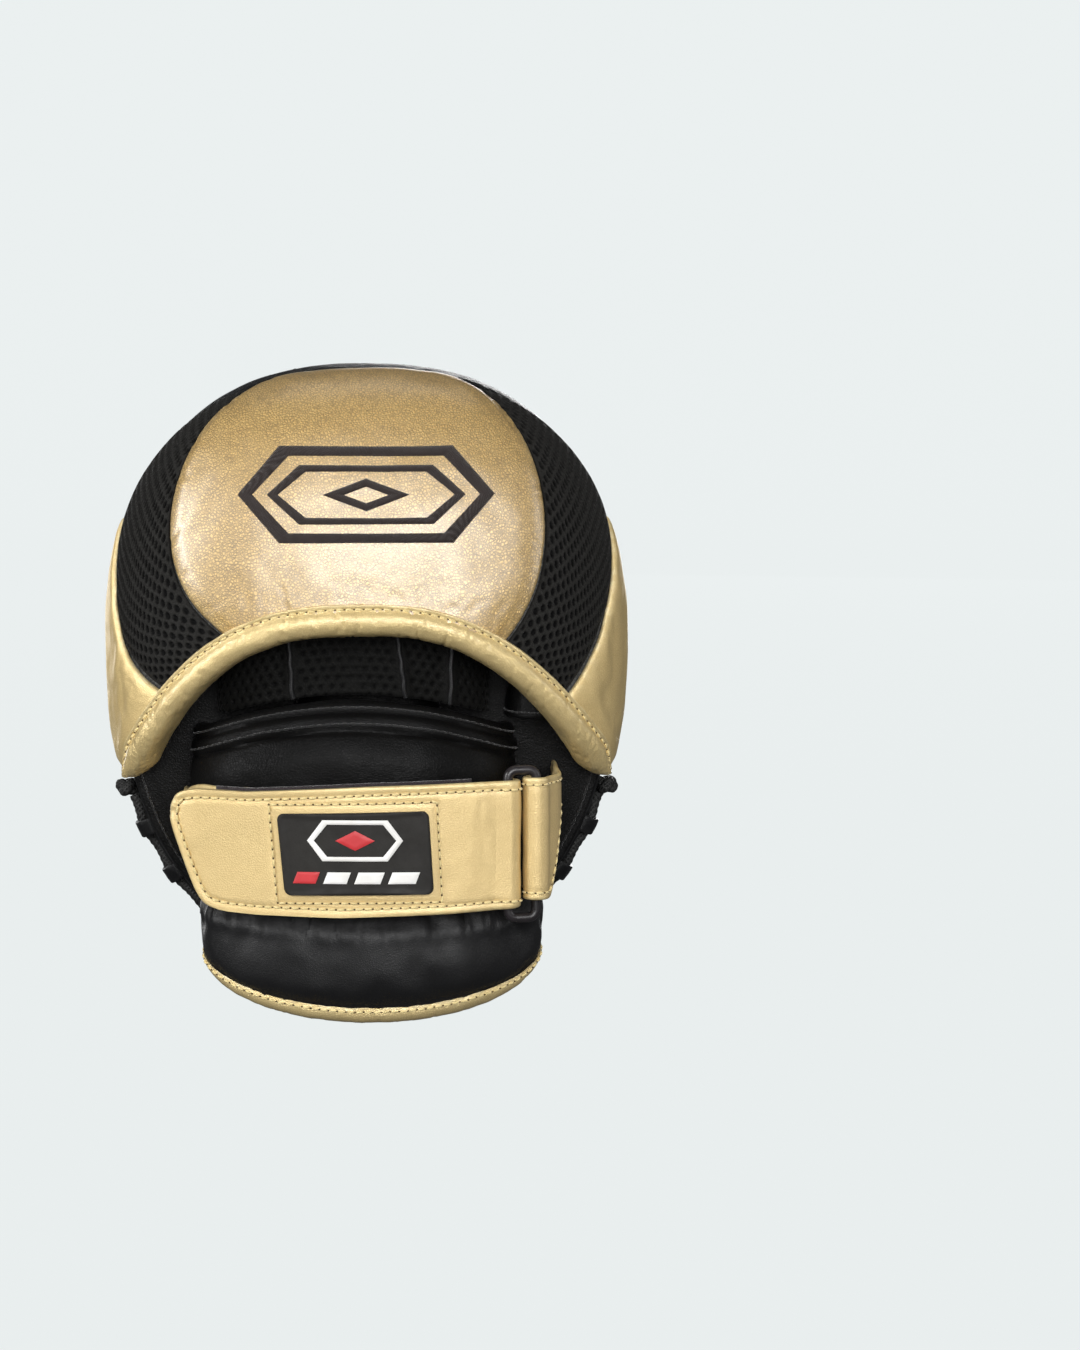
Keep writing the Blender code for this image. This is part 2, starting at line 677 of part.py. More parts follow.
def strip(name, path, low, high, thickness, finish, inside):
    """A strip of leather or tape along a path in X and Y, between two heights."""
    count = len(path)
    rows = []
    for k, point in enumerate(path):
        share = k / (count - 1)
        rows.append([(point[0], point[1], low(share)), (point[0], point[1], high(share))])
    return skin(name, rows, thickness, finish, inside=inside)


def rising(share, start, end):
    """0 before start, 1 after end."""
    return min(1.0, max(0.0, (share - start) / (end - start)))


def round_end(share, length, radius, start, middle):
    """A height that runs straight and turns in at the far end with a round corner."""
    left = (1 - share) * length
    if left >= radius:
        return start
    drop = radius - math.sqrt(max(0.0, radius ** 2 - (radius - left) ** 2))
    return start + math.copysign(drop, middle - start)


def back_curve(first, last, count, offset):
    """The strap's curve over the back of the hand, moved offset mm towards the hand."""
    points = []
    for x in steps(first, last, count):
        y = -41.4 + 0.00262 * (x - 10.0) ** 2
        slope = 0.00524 * (x - 10.0)
        size = math.hypot(1.0, slope)
        points.append((x - offset * slope / size, y + offset / size))
    return points


def make_strap():
    inside = (0.0, 60.0, -35.0)
    middle = 0.5 * (STRAP_TOP_Z + STRAP_BOTTOM_Z)
    radius = BAR_RADIUS + 0.5 + STRAP_LEATHER
    fold = []
    for turn in steps(100.0, -80.0, 10):
        angle = math.radians(turn)
        fold.append((FOLD_BAR[0] + radius * math.cos(angle), FOLD_BAR[1] + radius * math.sin(angle)))
    flap_path = fold + back_curve(44.0, -72.0, 26, 0.0)

    def flap_low(share):
        return round_end(share, FLAP_LENGTH, 16.0, STRAP_BOTTOM_Z, middle)

    def flap_high(share):
        return round_end(share, FLAP_LENGTH, 10.0, STRAP_TOP_Z, middle)

    flap = strip("strap_flap", flap_path, flap_low, flap_high, STRAP_LEATHER, "strap_gold", inside)
    offset = STRAP_LEATHER + CLEARANCE
    hook = strip("hook_tape", back_curve(20.0, -60.0, 17, offset), lambda s: STRAP_BOTTOM_Z + 3,
                 lambda s: STRAP_TOP_Z - 3, TAPE, "black_tape", inside)
    offset += TAPE + CLEARANCE
    strip("loop_tape", back_curve(38.0, -56.0, 19, offset), lambda s: STRAP_BOTTOM_Z + 2,
          lambda s: STRAP_TOP_Z + 0.5, TAPE, "black_tape", inside)
    offset += TAPE + CLEARANCE
    anchor = [(-63.0, -13.0), (-66.5, -1.0), (-68.0, HOOD_REAR_Y - 0.6)]
    path = back_curve(43.0, -56.0, 19, offset)
    path += smooth_path([path[-1]] + anchor, 9)[1:]
    strip("strap_base", path, lambda s: STRAP_BOTTOM_Z + 1.5 + 16.0 * rising(s, 0.66, 0.82),
          lambda s: STRAP_TOP_Z - 2.5 - 5.0 * rising(s, 0.74, 0.95), BASE_STRAP, "strap_gold",
          inside)
    patch = strip("strap_patch", back_curve(23.5, -33.0, 13, -1.5), lambda s: -49.5, lambda s: -20.3,
                  PATCH, "black_rubber", inside)
    for part in (flap, hook, patch):
        set_origin(part, (FOLD_BAR[0], FOLD_BAR[1], middle))


def make_ring_and_tab():
    corner = RING_CORNER
    width = TAB_BAR[0] - FOLD_BAR[0]
    loop = []
    for x, z, turn in ((1, 1, 0), (0, 1, 90), (0, 0, 180), (1, 0, 270)):
        centre_z = (RING_TOP_Z - corner) if z else (RING_BOTTOM_Z + corner)
        for step in (0.0, 30.0, 60.0, 90.0):
            angle = math.radians(turn + step)
            centre = FOLD_BAR[0] + (width - corner if x else corner)
            px = centre + corner * math.cos(angle)
            share = (px - FOLD_BAR[0]) / width
            loop.append((px, FOLD_BAR[1] + (TAB_BAR[1] - FOLD_BAR[1]) * share,
                         centre_z + corner * math.sin(angle)))
    ring = rod("strap_ring", loop, BAR_RADIUS, "black_plastic", cyclic=True)
    set_origin(ring, (TAB_BAR[0], TAB_BAR[1], 0.5 * (RING_TOP_Z + RING_BOTTOM_Z)))

    roll = []
    for turn in steps(115.0, 355.0, 14):
        angle = math.radians(turn)
        roll.append((TAB_BAR[0] + TAB_ROLL * math.cos(angle), TAB_BAR[1] + TAB_ROLL * math.sin(angle)))
    tail = smooth_path([roll[-1], (70.2, -22.0), (70.0, -5.0), (70.0, HOOD_REAR_Y - 0.4)], 8)[1:]

    def tab_low(share):
        return -54.0 + 30.0 * rising(share, 0.3, 0.5)

    strip("ring_tab", roll + tail, tab_low, lambda s: -9.5, TAB, "strap_gold", (60.0, 60.0, -30.0))


def main():
    clear_scene()
    collection = bpy.data.collections.new("focus_mitt")
    bpy.context.scene.collection.children.link(collection)
    make_filling()
    make_walls()
    make_strike_cover()
    make_prints()
    make_lace()
    make_hood()
    make_emblem()
    make_pocket()
    make_cuff()
    make_strap()
    make_ring_and_tab()


main()
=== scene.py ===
"""Looks of the focus mitt: leather, mesh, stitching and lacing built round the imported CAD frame.

The shape functions work in millimetres and the meshes are in metres, in the frame's own axes:
X to the thumb side, Y to the strike face, Z to the finger tips, and the hand side faces -Y.
"""
import math

import bmesh
import bpy
import numpy as np
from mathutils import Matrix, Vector, noise
from mathutils.bvhtree import BVHTree


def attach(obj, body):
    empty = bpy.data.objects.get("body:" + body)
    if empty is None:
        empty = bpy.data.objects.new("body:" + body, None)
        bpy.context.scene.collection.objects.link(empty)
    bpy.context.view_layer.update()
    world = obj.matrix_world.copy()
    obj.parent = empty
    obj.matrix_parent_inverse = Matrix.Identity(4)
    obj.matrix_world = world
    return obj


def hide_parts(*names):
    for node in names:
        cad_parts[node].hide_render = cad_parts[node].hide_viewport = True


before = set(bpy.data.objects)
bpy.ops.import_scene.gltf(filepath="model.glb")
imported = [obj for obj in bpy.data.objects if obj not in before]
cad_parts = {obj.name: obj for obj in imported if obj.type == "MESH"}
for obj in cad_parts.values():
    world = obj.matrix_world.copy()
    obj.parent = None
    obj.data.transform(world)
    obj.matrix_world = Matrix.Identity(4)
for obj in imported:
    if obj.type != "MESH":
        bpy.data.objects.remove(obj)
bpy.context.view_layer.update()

MM = 0.001
CLOTH_FRAMES = 20
CLOTH_MASS = 0.0005

# The mitt's outlines and places in mm, the same as in the CAD.
PAD_HALF_WIDTH, PAD_TOP, PAD_BOTTOM, PAD_CENTRE_Z = 92.0, 101.0, 119.0, 35.0
POWER_TOP, POWER_BOTTOM = 2.4, 2.3
HOOD_HALF_WIDTH, HOOD_TOP, HOOD_BOTTOM = 95.5, 99.5, 119.0
HOOD_DEPTH, HOOD_REAR_Y = 44.0, 15.6
RIM_PEAK_X, RIM_PEAK_Z, RIM_DROP, RIM_HALF_WIDTH = 2.0, 43.1, 56.9, 87.0
RIM_POWER_LEFT, RIM_POWER_RIGHT = 3.0, 2.3
HOOD_SPREAD, HOOD_END = math.radians(119.4), 0.965
FACE_Y, FACE_EDGE_Y, FACE_CROWN = 52.0, 44.9, 1.0
WALL_LOW_Y, WALL_HIGH_Y = 17.7, 41.6
WALL_JOINT = math.radians(-25.5)
TARGET_Z = 27.0
LACE_FIRST, LACE_LAST, LACE_Y = math.radians(216.0), math.radians(324.0), 30.0
POCKET_X, POCKET_BASE_Y = -5.0, 14.9
CUFF_X, CUFF_Y, CUFF_HALF_WIDTH, CUFF_HALF_DEPTH = 1.5, -8.5, 61.0, 22.0
CUFF_TOP_Z, CUFF_PAD = -55.0, 7.0
FOLD_BAR, TAB_BAR, BAR_RADIUS = (50.5, -33.5), (60.7, -31.5), 1.8
RING_LOW_Z, RING_HIGH_Z = -60.8, -7.0
STRAP_LEATHER = 2.4
FOLD_RADIUS = BAR_RADIUS + 0.5 + STRAP_LEATHER

# Points inside the piece that a surface is wrapped round, to tell its outer side.
INSIDE = (0.0, 25.0, 30.0)
POCKET_INSIDE = (POCKET_X, 30.0, 0.0)
CUFF_INSIDE = (CUFF_X, CUFF_Y, -75.0)
STRAP_INSIDE = (0.0, 60.0, -35.0)

# How far the hood's panels run on under its binding in mm, and half the gap between two of them in u.
UNDER_BINDING = 11.0
PANEL_GAP = 0.0035


# ---- numbers and points ---------------------------------------------------------------------

def points_of(*parts):
    """Points from arrays of X, Y and Z."""
    return np.stack(np.broadcast_arrays(*parts), axis=-1).astype(float)


def unit(vectors):
    return vectors / np.maximum(np.linalg.norm(vectors, axis=-1, keepdims=True), 1e-9)


def smooth_step(low, high, value):
    t = np.clip((value - low) / (high - low), 0.0, 1.0)
    return t * t * (3 - 2 * t)


def soft_steps(count, edge=0.02):
    """Values from 0 to 1 with a few more near both ends, where an edge is rolled."""
    near = edge * np.array([0.0, 0.12, 0.4])
    return np.concatenate([near, np.linspace(edge, 1 - edge, count), 1 - near[::-1]])


def curve_through(knots, count):
    """Evenly spaced points along a smooth curve through the knots."""
    knots = np.array(knots, float)
    padded = np.vstack([2 * knots[:1] - knots[1:2], knots, 2 * knots[-1:] - knots[-2:-1]])
    spans = len(padded) - 3
    where = np.linspace(0, spans, 12 * spans + 1)
    k = np.minimum(where.astype(int), spans - 1)
    t = (where - k)[:, None]
    a, b, c, d = padded[k], padded[k + 1], padded[k + 2], padded[k + 3]
    line = 0.5 * (2 * b + (c - a) * t + (2 * a - 5 * b + 4 * c - d) * t ** 2
                  + (3 * b - a - 3 * c + d) * t ** 3)
    return even_points(line, count)


def gaussian(values, width):
    """Values with their small steps smoothed away."""
    span = 3 * width
    weights = np.exp(-0.5 * (np.arange(-span, span + 1) / width) ** 2)
    return np.convolve(np.pad(values, span, mode="edge"), weights / weights.sum(), mode="valid")


def full_turn(count):
    """Evenly spaced angles once round."""
    return np.linspace(0, 2 * np.pi, count, endpoint=False)


def ridge(value, middle, width, power=2):
    """1 where a value is at the middle, and 0 well to either side of it."""
    return np.exp(-((value - middle) / width) ** power)


def distances(line):
    """How far each point of a line is along it."""
    return np.concatenate([[0.0], np.cumsum(np.linalg.norm(np.diff(line, axis=0), axis=1))])


def read_line(line, far, at):
    """The points at given distances along a line whose own points are far along it."""
    return np.stack([np.interp(at, far, line[:, k]) for k in range(line.shape[1])], axis=-1)


def even_points(line, count):
    """Evenly spaced points along a line."""
    far = distances(line)
    return read_line(line, far, np.linspace(0, far[-1], count))


def clouds(points, size, seed, octaves=3):
    """Smooth noise over points, about -1 to 1; size is its wavelength in mm, one or three."""
    flat = points.reshape(-1, 3) / np.array(size, float)
    shift = Vector((seed * 13.7, seed * 7.3, seed * 3.1))
    values = [noise.fractal(Vector(p) + shift, 1.0, 2.0, octaves) for p in flat]
    return np.array(values).reshape(points.shape[:-1])


def creases(points, size, seed, width=0.08):
    """Thin lines where smooth noise passes zero, 1 on a line and 0 away from it."""
    return ridge(clouds(points, size, seed, 2), 0.0, width)


# ---- meshes ---------------------------------------------------------------------------------

def make_mesh(name, points, faces, look, fields=None, sharp=50.0):
    """A closed mesh from points in mm, with its faces turned outwards."""
    data = bpy.data.meshes.new(name)
    data.from_pydata((np.asarray(points) * MM).tolist(), [], faces)
    work = bmesh.new()
    work.from_mesh(data)
    bmesh.ops.recalc_face_normals(work, faces=work.faces)
    work.to_mesh(data)
    work.free()
    data.shade_smooth()
    data.set_sharp_from_angle(angle=math.radians(sharp))
    for field, values in (fields or {}).items():
        layer = data.attributes.new(field, "FLOAT", "POINT")
        layer.data.foreach_set("value", np.asarray(values, np.float32).ravel())
    data.materials.append(LOOKS[look])
    piece = bpy.data.objects.new(name, data)
    bpy.context.scene.collection.objects.link(piece)
    return piece


def surface_of(piece):
    """A piece's surface, for rays."""
    data = piece.data
    return BVHTree.FromPolygons([v.co for v in data.vertices], [tuple(f.vertices) for f in data.polygons])


def land_on(surface, points, ups, above=8.0):
    """Each point moved along its up direction to lie on a surface."""
    landed = []
    for point, up in zip(points, ups):
        start = Vector((point + up * above) * MM)
        hit = surface.ray_cast(start, Vector(-up), 2.5 * above * MM)[0]
        landed.append(point if hit is None else np.array(hit) / MM)
    return np.array(landed)


def place(piece, body, nodes=()):
    """Fix a piece to its body, in place of the CAD nodes that it stands for."""
    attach(piece, body)
    if nodes:
        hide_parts(*nodes)


def quads(index):
    """Four-cornered faces between the points of a grid, given their numbers."""
    return np.stack([index[:-1, :-1], index[1:, :-1], index[1:, 1:], index[:-1, 1:]],
                    axis=-1).reshape(-1, 4)


def grid_index(rows, columns, wrap_rows=False, wrap_columns=False):
    """Numbers of a grid's points, with the first row or column again at the end to close it."""
    index = np.arange(rows * columns).reshape(rows, columns)
    if wrap_rows:
        index = np.vstack([index, index[:1]])
    if wrap_columns:
        index = np.hstack([index, index[:, :1]])
    return index


def grid_normals(points, away, wrap=False):
    """Unit normals of a grid, pointing away from a point."""
    if wrap:
        down = np.roll(points, -1, axis=0) - np.roll(points, 1, axis=0)
    else:
        down = np.gradient(points, axis=0)
    normals = unit(np.cross(down, np.gradient(points, axis=1)))
    if np.sum(normals * (points - np.array(away))) < 0:
        normals = -normals
    return normals


def reach(points, axis):
    """How far each grid point is along the grid from its first row or column."""
    step = np.linalg.norm(np.diff(points, axis=axis), axis=-1)
    return np.concatenate([np.zeros_like(np.take(step, [0], axis)), np.cumsum(step, axis)], axis)


def border(points, wrap=False, cap=False):
    """Distance from each grid point to the nearest edge of the sheet."""
    across = reach(points, 1)
    near = across if cap else np.minimum(across, across[:, -1:] - across)
    if not wrap:
        along = reach(points, 0)
        near = np.minimum(near, np.minimum(along, along[-1:] - along))
    return near


def skin(name, points, thick, look, away=INSIDE, wrap=False, cap=False, roll=0.8, lift=None,
         fields=None):
    """A closed sheet on a grid of points, with rolled edges; returns it, its front and normals."""
    normals = grid_normals(points, away, wrap)
    near = border(points, wrap, cap)
    if lift is not None:
        points = points + normals * lift[..., None]
    full = np.sqrt(1 - (1 - np.clip(near / roll, 0, 1)) ** 2)
    depth = thick * np.maximum(0.15, full)
    front = points - normals * (0.5 * (thick - depth))[..., None]
    back = front - normals * depth[..., None]
    rows, columns = points.shape[:2]
    index = grid_index(rows, columns, wrap)
    total = rows * columns
    faces = quads(index).tolist() + (quads(index)[:, ::-1] + total).tolist()
    edges = [index[:, 0]] if cap else [index[:, 0], index[::-1, -1]]
    if not wrap:
        edges += [index[0, ::-1], index[-1]]
    for edge in edges:
        faces += np.stack([edge[:-1], edge[1:], edge[1:] + total, edge[:-1] + total], -1).tolist()
    if cap:
        middle = index[:rows, -1]
        faces += [middle.tolist(), (middle[::-1] + total).tolist()]
    both = np.concatenate([front.reshape(-1, 3), back.reshape(-1, 3)])
    layers = {"worn": np.tile(np.exp(-near.ravel() / 1.2), 2)}
    for field, values in (fields or {}).items():
        layers[field] = np.tile(values.ravel(), 2)
    return make_mesh(name, both, faces, look, layers), front, normals


def spread(values, at, count):
    """Values known at some rows, spread over every row from 0 to count - 1."""
    every = np.arange(count)
    flat = values.reshape(len(values), -1)
    full = np.stack([gaussian(np.interp(every, at, flat[:, k]), 2) for k in range(flat.shape[1])], -1)
    return full.reshape((count,) + values.shape[1:])


def inflate(name, points, away, pinned, coarse, force, grow=0.0, cap=3.0, wrap=False):
    """How far a sewn cover moves, at each grid point, when its filling presses it outwards.

    Cloth simulation on a coarse copy of the grid, held where pinned is true; grow is the slack that
    makes it pucker at its seams.
    """
    rows, columns = points.shape[:2]
    at_row = np.linspace(0, rows - (rows / coarse[0] if wrap else 1), coarse[0]).astype(int)
    at_column = np.linspace(0, columns - 1, coarse[1]).astype(int)
    start = points[np.ix_(at_row, at_column)]
    faces = quads(grid_index(*coarse, wrap))
    corners = start.reshape(-1, 3)[faces]
    outwards = np.cross(corners[:, 2] - corners[:, 0], corners[:, 3] - corners[:, 1])
    if np.sum(outwards * (corners.mean(axis=1) - np.array(away))) < 0:
        faces = faces[:, ::-1]
    data = bpy.data.meshes.new(name)
    data.from_pydata((start.reshape(-1, 3) * MM).tolist(), [], faces.tolist())
    cover = bpy.data.objects.new(name, data)
    scene = bpy.context.scene
    scene.collection.objects.link(cover)
    held = cover.vertex_groups.new(name="sewn")
    held.add(np.flatnonzero(pinned[np.ix_(at_row, at_column)].ravel()).tolist(), 1.0, "REPLACE")
    cloth = cover.modifiers.new("filling", "CLOTH")
    settings = cloth.settings
    settings.quality = 8
    settings.mass = CLOTH_MASS
    settings.tension_stiffness = settings.compression_stiffness = 8.0
    settings.shear_stiffness = 3.0
    settings.bending_stiffness = 0.02
    settings.use_pressure = True
    settings.uniform_pressure_force = force
    settings.vertex_group_mass = "sewn"
    settings.effector_weights.gravity = 0.0
    settings.shrink_min = -grow
    cloth.collision_settings.use_collision = False
    cloth.point_cache.frame_start, cloth.point_cache.frame_end = 1, CLOTH_FRAMES
    for frame in range(1, CLOTH_FRAMES + 1):
        scene.frame_set(frame)
    moved = cover.evaluated_get(bpy.context.evaluated_depsgraph_get()).data
    after = np.empty(start.size, np.float32)
    moved.vertices.foreach_get("co", after)
    move = after.reshape(start.shape) / MM - start
    size = np.linalg.norm(move, axis=-1, keepdims=True)
    move *= np.minimum(1.0, cap / np.maximum(size, 1e-6))
    bpy.data.objects.remove(cover)
    bpy.data.meshes.remove(data)
    scene.frame_set(1)
    if wrap:
        move, at_row = np.concatenate([move, move[:1]]), np.append(at_row, rows)
    full = spread(move, at_row, rows)
    return spread(full.transpose(1, 0, 2), at_column, columns).transpose(1, 0, 2)


def tube_grid(path, radius, sides, closed=False):
    """Rings of points round a path."""
    path = np.asarray(path, float)
    if closed:
        tangent = unit(np.roll(path, -1, axis=0) - np.roll(path, 1, axis=0))
    else:
        tangent = unit(np.gradient(path, axis=0))
    side = np.zeros_like(path)
    last = np.cross(tangent[0], (0.3, 0.2, 0.9))
    for k, direction in enumerate(tangent):
        last = last - direction * np.dot(last, direction)
        last /= np.linalg.norm(last)
        side[k] = last
    up = np.cross(tangent, side)
    turn = full_turn(sides)
    out = side[:, None] * np.cos(turn)[None, :, None] + up[:, None] * np.sin(turn)[None, :, None]
    return path[:, None] + out * np.broadcast_to(radius, (len(path), sides))[..., None]


def tube(name, path, radius, look, sides=10, closed=False):
    """A round cord along a path in mm; its radius is one number or one for each point of its rings."""
    grid = tube_grid(path, radius, sides, closed)
    index = grid_index(len(grid), sides, closed, True)
    faces = quads(index).tolist()
    if not closed:
        faces += [index[0, :-1].tolist(), index[-1, :-1].tolist()]
    return make_mesh(name, grid.reshape(-1, 3), faces, look)


# A thread's shape: where each of its rings is along it, and its size there.
CAPSULE_RINGS = ((-1.0, 0.35), (-0.86, 0.8), (-0.45, 1.0), (0.0, 1.06), (0.45, 1.0), (0.86, 0.8),
                 (1.0, 0.35))


def capsules(name, centres, along, ups, half_lengths, radius, look, arch):
    """Many short threads as one mesh: each is a small rounded rod that dips at its ends."""
    sides = 6
    along = unit(np.asarray(along))
    across = unit(np.cross(along, ups))
    ups = np.cross(across, along)
    turn = full_turn(sides)
    station, size = np.array(CAPSULE_RINGS).T
    forward = station[:, None] * np.ones(sides)
    sideways = size[:, None] * np.cos(turn)
    height = size[:, None] * np.sin(turn)
    half = np.broadcast_to(np.asarray(half_lengths, float), (len(centres),))[:, None, None]
    bow = -arch * forward ** 2
    verts = (np.asarray(centres)[:, None, None] + along[:, None, None] * (forward * half)[..., None]
             + across[:, None, None] * (sideways * radius)[None, ..., None]
             + ups[:, None, None] * (height * radius + bow)[None, ..., None])
    rings = len(CAPSULE_RINGS)
    index = grid_index(rings, sides, wrap_columns=True)
    one = quads(index).tolist() + [index[0, :-1].tolist(), index[-1, :-1].tolist()]
    faces = [[v + k * rings * sides for v in face] for k in range(len(centres)) for face in one]
    return make_mesh(name, verts.reshape(-1, 3), faces, look, sharp=80.0)


def stitches(name, path, ups, thread, body, pitch, radius, closed=False, slant=0.0, holes=True):
    """A row of stitches along a line on a surface, with a dark spot of painted shade for the needle hole
    between each two.
    """
    if closed:
        path, ups = np.vstack([path, path[:1]]), np.vstack([ups, ups[:1]])
    far = distances(path)
    count = max(2, int(far[-1] / pitch))
    edges = np.linspace(0, far[-1], count + 1)
    middle = 0.5 * (edges[:-1] + edges[1:])
    starts, ends = read_line(path, far, edges[:-1]), read_line(path, far, edges[1:])
    up = unit(read_line(ups, far, middle))
    across = unit(np.cross(ends - starts, up))
    direction = unit(ends - starts) + across * slant
    centres = read_line(path, far, middle) + up * radius * 0.55
    row = capsules(name, centres, direction, up, 0.41 * far[-1] / count, radius, thread, arch=0.42)
    place(row, body)
    # Needle holes are small dark spots laid on the surface: painted shade for the holes.
    if holes:
        at = edges[:-1] if closed else edges
        up = unit(read_line(ups, far, at))
        nudge = 0.01
        along = read_line(path, far, at + nudge) - read_line(path, far, at - nudge)
        spots = capsules(f"{name}_holes", read_line(path, far, at) + up * 0.02,
                         along + across[:1] * 1e-6, up, 0.36, 0.3,
                         "hole_shade" if thread == "gold_thread" else "black_thread", arch=0.0)
        place(spots, body)


def inset_line(front, normals, side, distance):
    """The line that runs at a distance inside one border of a grid, and its normals."""
    grid, ups = front, normals
    if side in ("first_row", "last_row"):
        grid, ups = grid.transpose(1, 0, 2), ups.transpose(1, 0, 2)
    if side in ("last_column", "last_row"):
        grid, ups = grid[:, ::-1], ups[:, ::-1]
    far = reach(grid, 1)
    line = [[np.interp(distance, far[r], grid[r, :, k]) for k in range(3)] for r in range(len(grid))]
    up = [[np.interp(distance, far[r], ups[r, :, k]) for k in range(3)] for r in range(len(grid))]
    return np.array(line), np.array(up)


def edge_stitches(name, front, normals, side, inset, thread, body, pitch, radius, trim=0, **options):
    """Stitches at a distance inside one border of a grid, less a few points at each end."""
    line, up = inset_line(front, normals, side, inset)
    kept = slice(trim, len(line) - trim)
    stitches(name, line[kept], up[kept], thread, body, pitch, radius, **options)


# ---- materials ------------------------------------------------------------------------------

def srgb(red, green, blue):
    return tuple(((c / 255 + 0.055) / 1.055) ** 2.4 for c in (red, green, blue)) + (1.0,)


LOOKS = {}


class Look:
    """One material, listed in LOOKS under its name, and the means to add nodes to it."""

    def __init__(self, name, **sockets):
        self.material = LOOKS[name] = bpy.data.materials.new(name)
        self.material.use_nodes = True
        self.tree = self.material.node_tree
        self.shader = self.tree.nodes["Principled BSDF"]
        self.where = self.tree.nodes.new("ShaderNodeTexCoord").outputs["Object"]
        for socket, value in sockets.items():
            self.shader.inputs[socket.replace("_", " ")].default_value = value

    def add(self, kind, inputs, output=0, **settings):
        node = self.tree.nodes.new("ShaderNode" + kind)
        for setting, value in settings.items():
            setattr(node, setting, value)
        for socket, value in inputs.items():
            if isinstance(value, bpy.types.NodeSocket):
                self.tree.links.new(value, node.inputs[socket])
            else:
                node.inputs[socket].default_value = value
        return node.outputs[output]

    def math(self, operation, first, second=0.0):
        return self.add("Math", {0: first, 1: second}, operation=operation)

    def noise(self, scale, detail=3.0, where=None, roughness=0.5):
        return self.add("TexNoise", {"Vector": where or self.where, "Scale": scale, "Detail": detail,
                                     "Roughness": roughness})

    def stretch(self, scale):
        return self.add("Mapping", {"Vector": self.where, "Scale": scale})

    def range(self, value, low, high, to_low, to_high):
        return self.add("MapRange", {"Value": value, "From Min": low, "From Max": high,
                                     "To Min": to_low, "To Max": to_high})

    def mix(self, factor, first, second):
        return self.add("Mix", {0: factor, 6: first, 7: second}, output=2, data_type="RGBA")

    def field(self, name):
        return self.add("Attribute", {}, output=2, attribute_name=name)

    def bump(self, height, distance):
        return self.add("Bump", {"Height": height, "Distance": distance * MM, "Strength": 1.0})

    def wave(self, scale, direction, where=None, **inputs):
        return self.add("TexWave", {"Vector": where or self.where, "Scale": scale, **inputs}, output=1,
                        wave_type="BANDS", bands_direction=direction)

    def set(self, **links):
        for socket, value in links.items():
            self.tree.links.new(value, self.shader.inputs[socket.replace("_", " ")])


def leather(name, light, dark, worn, grain, depth, roughness, crease=0.5, mottle=0.2, **sockets):
    """Grained leather: pebbles with darker creases, patches of tone, and paler worn edges."""
    look = Look(name, **sockets)
    warp = look.noise(0.35 / (grain * MM), 2.0)
    drift = look.add("TexNoise", {"Vector": look.where, "Scale": 0.5 / (grain * MM), "Detail": 2.0},
                     output=1)
    drift = look.add("VectorMath", {0: drift, 1: (grain * MM * 0.9,) * 3}, operation="MULTIPLY")
    bent = look.add("VectorMath", {0: look.where, 1: drift}, operation="ADD")
    cells = look.add("TexVoronoi", {"Vector": bent, "Scale": 1 / (grain * MM)},
                     feature="DISTANCE_TO_EDGE")
    pebble = look.range(cells, 0.0, 0.24, 0.0, 1.0)
    fine = look.noise(2.2 / (grain * MM), 2.0)
    patches = look.noise(42.0, 4.0, roughness=0.6)
    valleys = look.math("MULTIPLY", look.math("SUBTRACT", 1.0, pebble),
                        look.range(warp, 0.35, 0.65, 0.6, 1.0))
    tone = look.math("ADD", look.math("MULTIPLY", valleys, crease),
                     look.math("MULTIPLY", look.math("SUBTRACT", patches, 0.5), mottle))
    colour = look.mix(look.add("Clamp", {"Value": tone}), light, dark)
    edge = look.math("MULTIPLY", look.field("worn"),
                     look.range(look.noise(350.0, 3.0), 0.42, 0.6, 0.15, 0.85))
    colour = look.mix(edge, colour, worn)
    height = look.math("ADD", look.math("MULTIPLY", pebble, 0.75), look.math("MULTIPLY", fine, 0.35))
    rough = look.math("ADD", look.range(patches, 0.3, 0.7, roughness - 0.06, roughness + 0.07),
                      look.math("MULTIPLY", valleys, 0.12))
    look.set(Base_Color=colour, Roughness=rough, Normal=look.bump(height, depth))


def mesh_fabric(name, light, dark, hole_shade):
    """Spacer mesh: a knitted ground with holes where the field pit is 1; the holes are painted near-black,
    the dark backing with painted shade inside them.
    """
    look = Look(name, Specular_IOR_Level=0.1, Sheen_Weight=0.03, Sheen_Roughness=0.4)
    knit = look.wave(420.0, "DIAGONAL", Distortion=2.5, Detail=2.0)
    fibre = look.noise(1900.0, 2.0)
    tone = look.mix(look.math("MULTIPLY", fibre, 0.9), light, dark)
    # Painted shade: the holes are coloured near-black.
    colour = look.mix(look.field("pit"), tone, hole_shade)
    height = look.math("ADD", look.math("MULTIPLY", knit, 0.5), fibre)
    rough = look.range(fibre, 0.3, 0.7, 0.55, 0.85)
    look.set(Base_Color=colour, Roughness=rough, Normal=look.bump(height, 0.12))


def fuzzy(name, light, dark, scale, depth):
    """Brushed tape: short fibres with a soft sheen."""
    look = Look(name, Specular_IOR_Level=0.2, Sheen_Weight=0.5, Sheen_Roughness=0.5, Roughness=0.95)
    hairs = look.noise(scale, 3.0, where=look.stretch((1.0, 1.0, 2.6)))
    tufts = look.noise(scale * 0.2, 2.0)
    colour = look.mix(look.range(hairs, 0.35, 0.65, 0.0, 1.0), dark, light)
    height = look.math("ADD", hairs, tufts)
    look.set(Base_Color=colour, Normal=look.bump(height, depth))


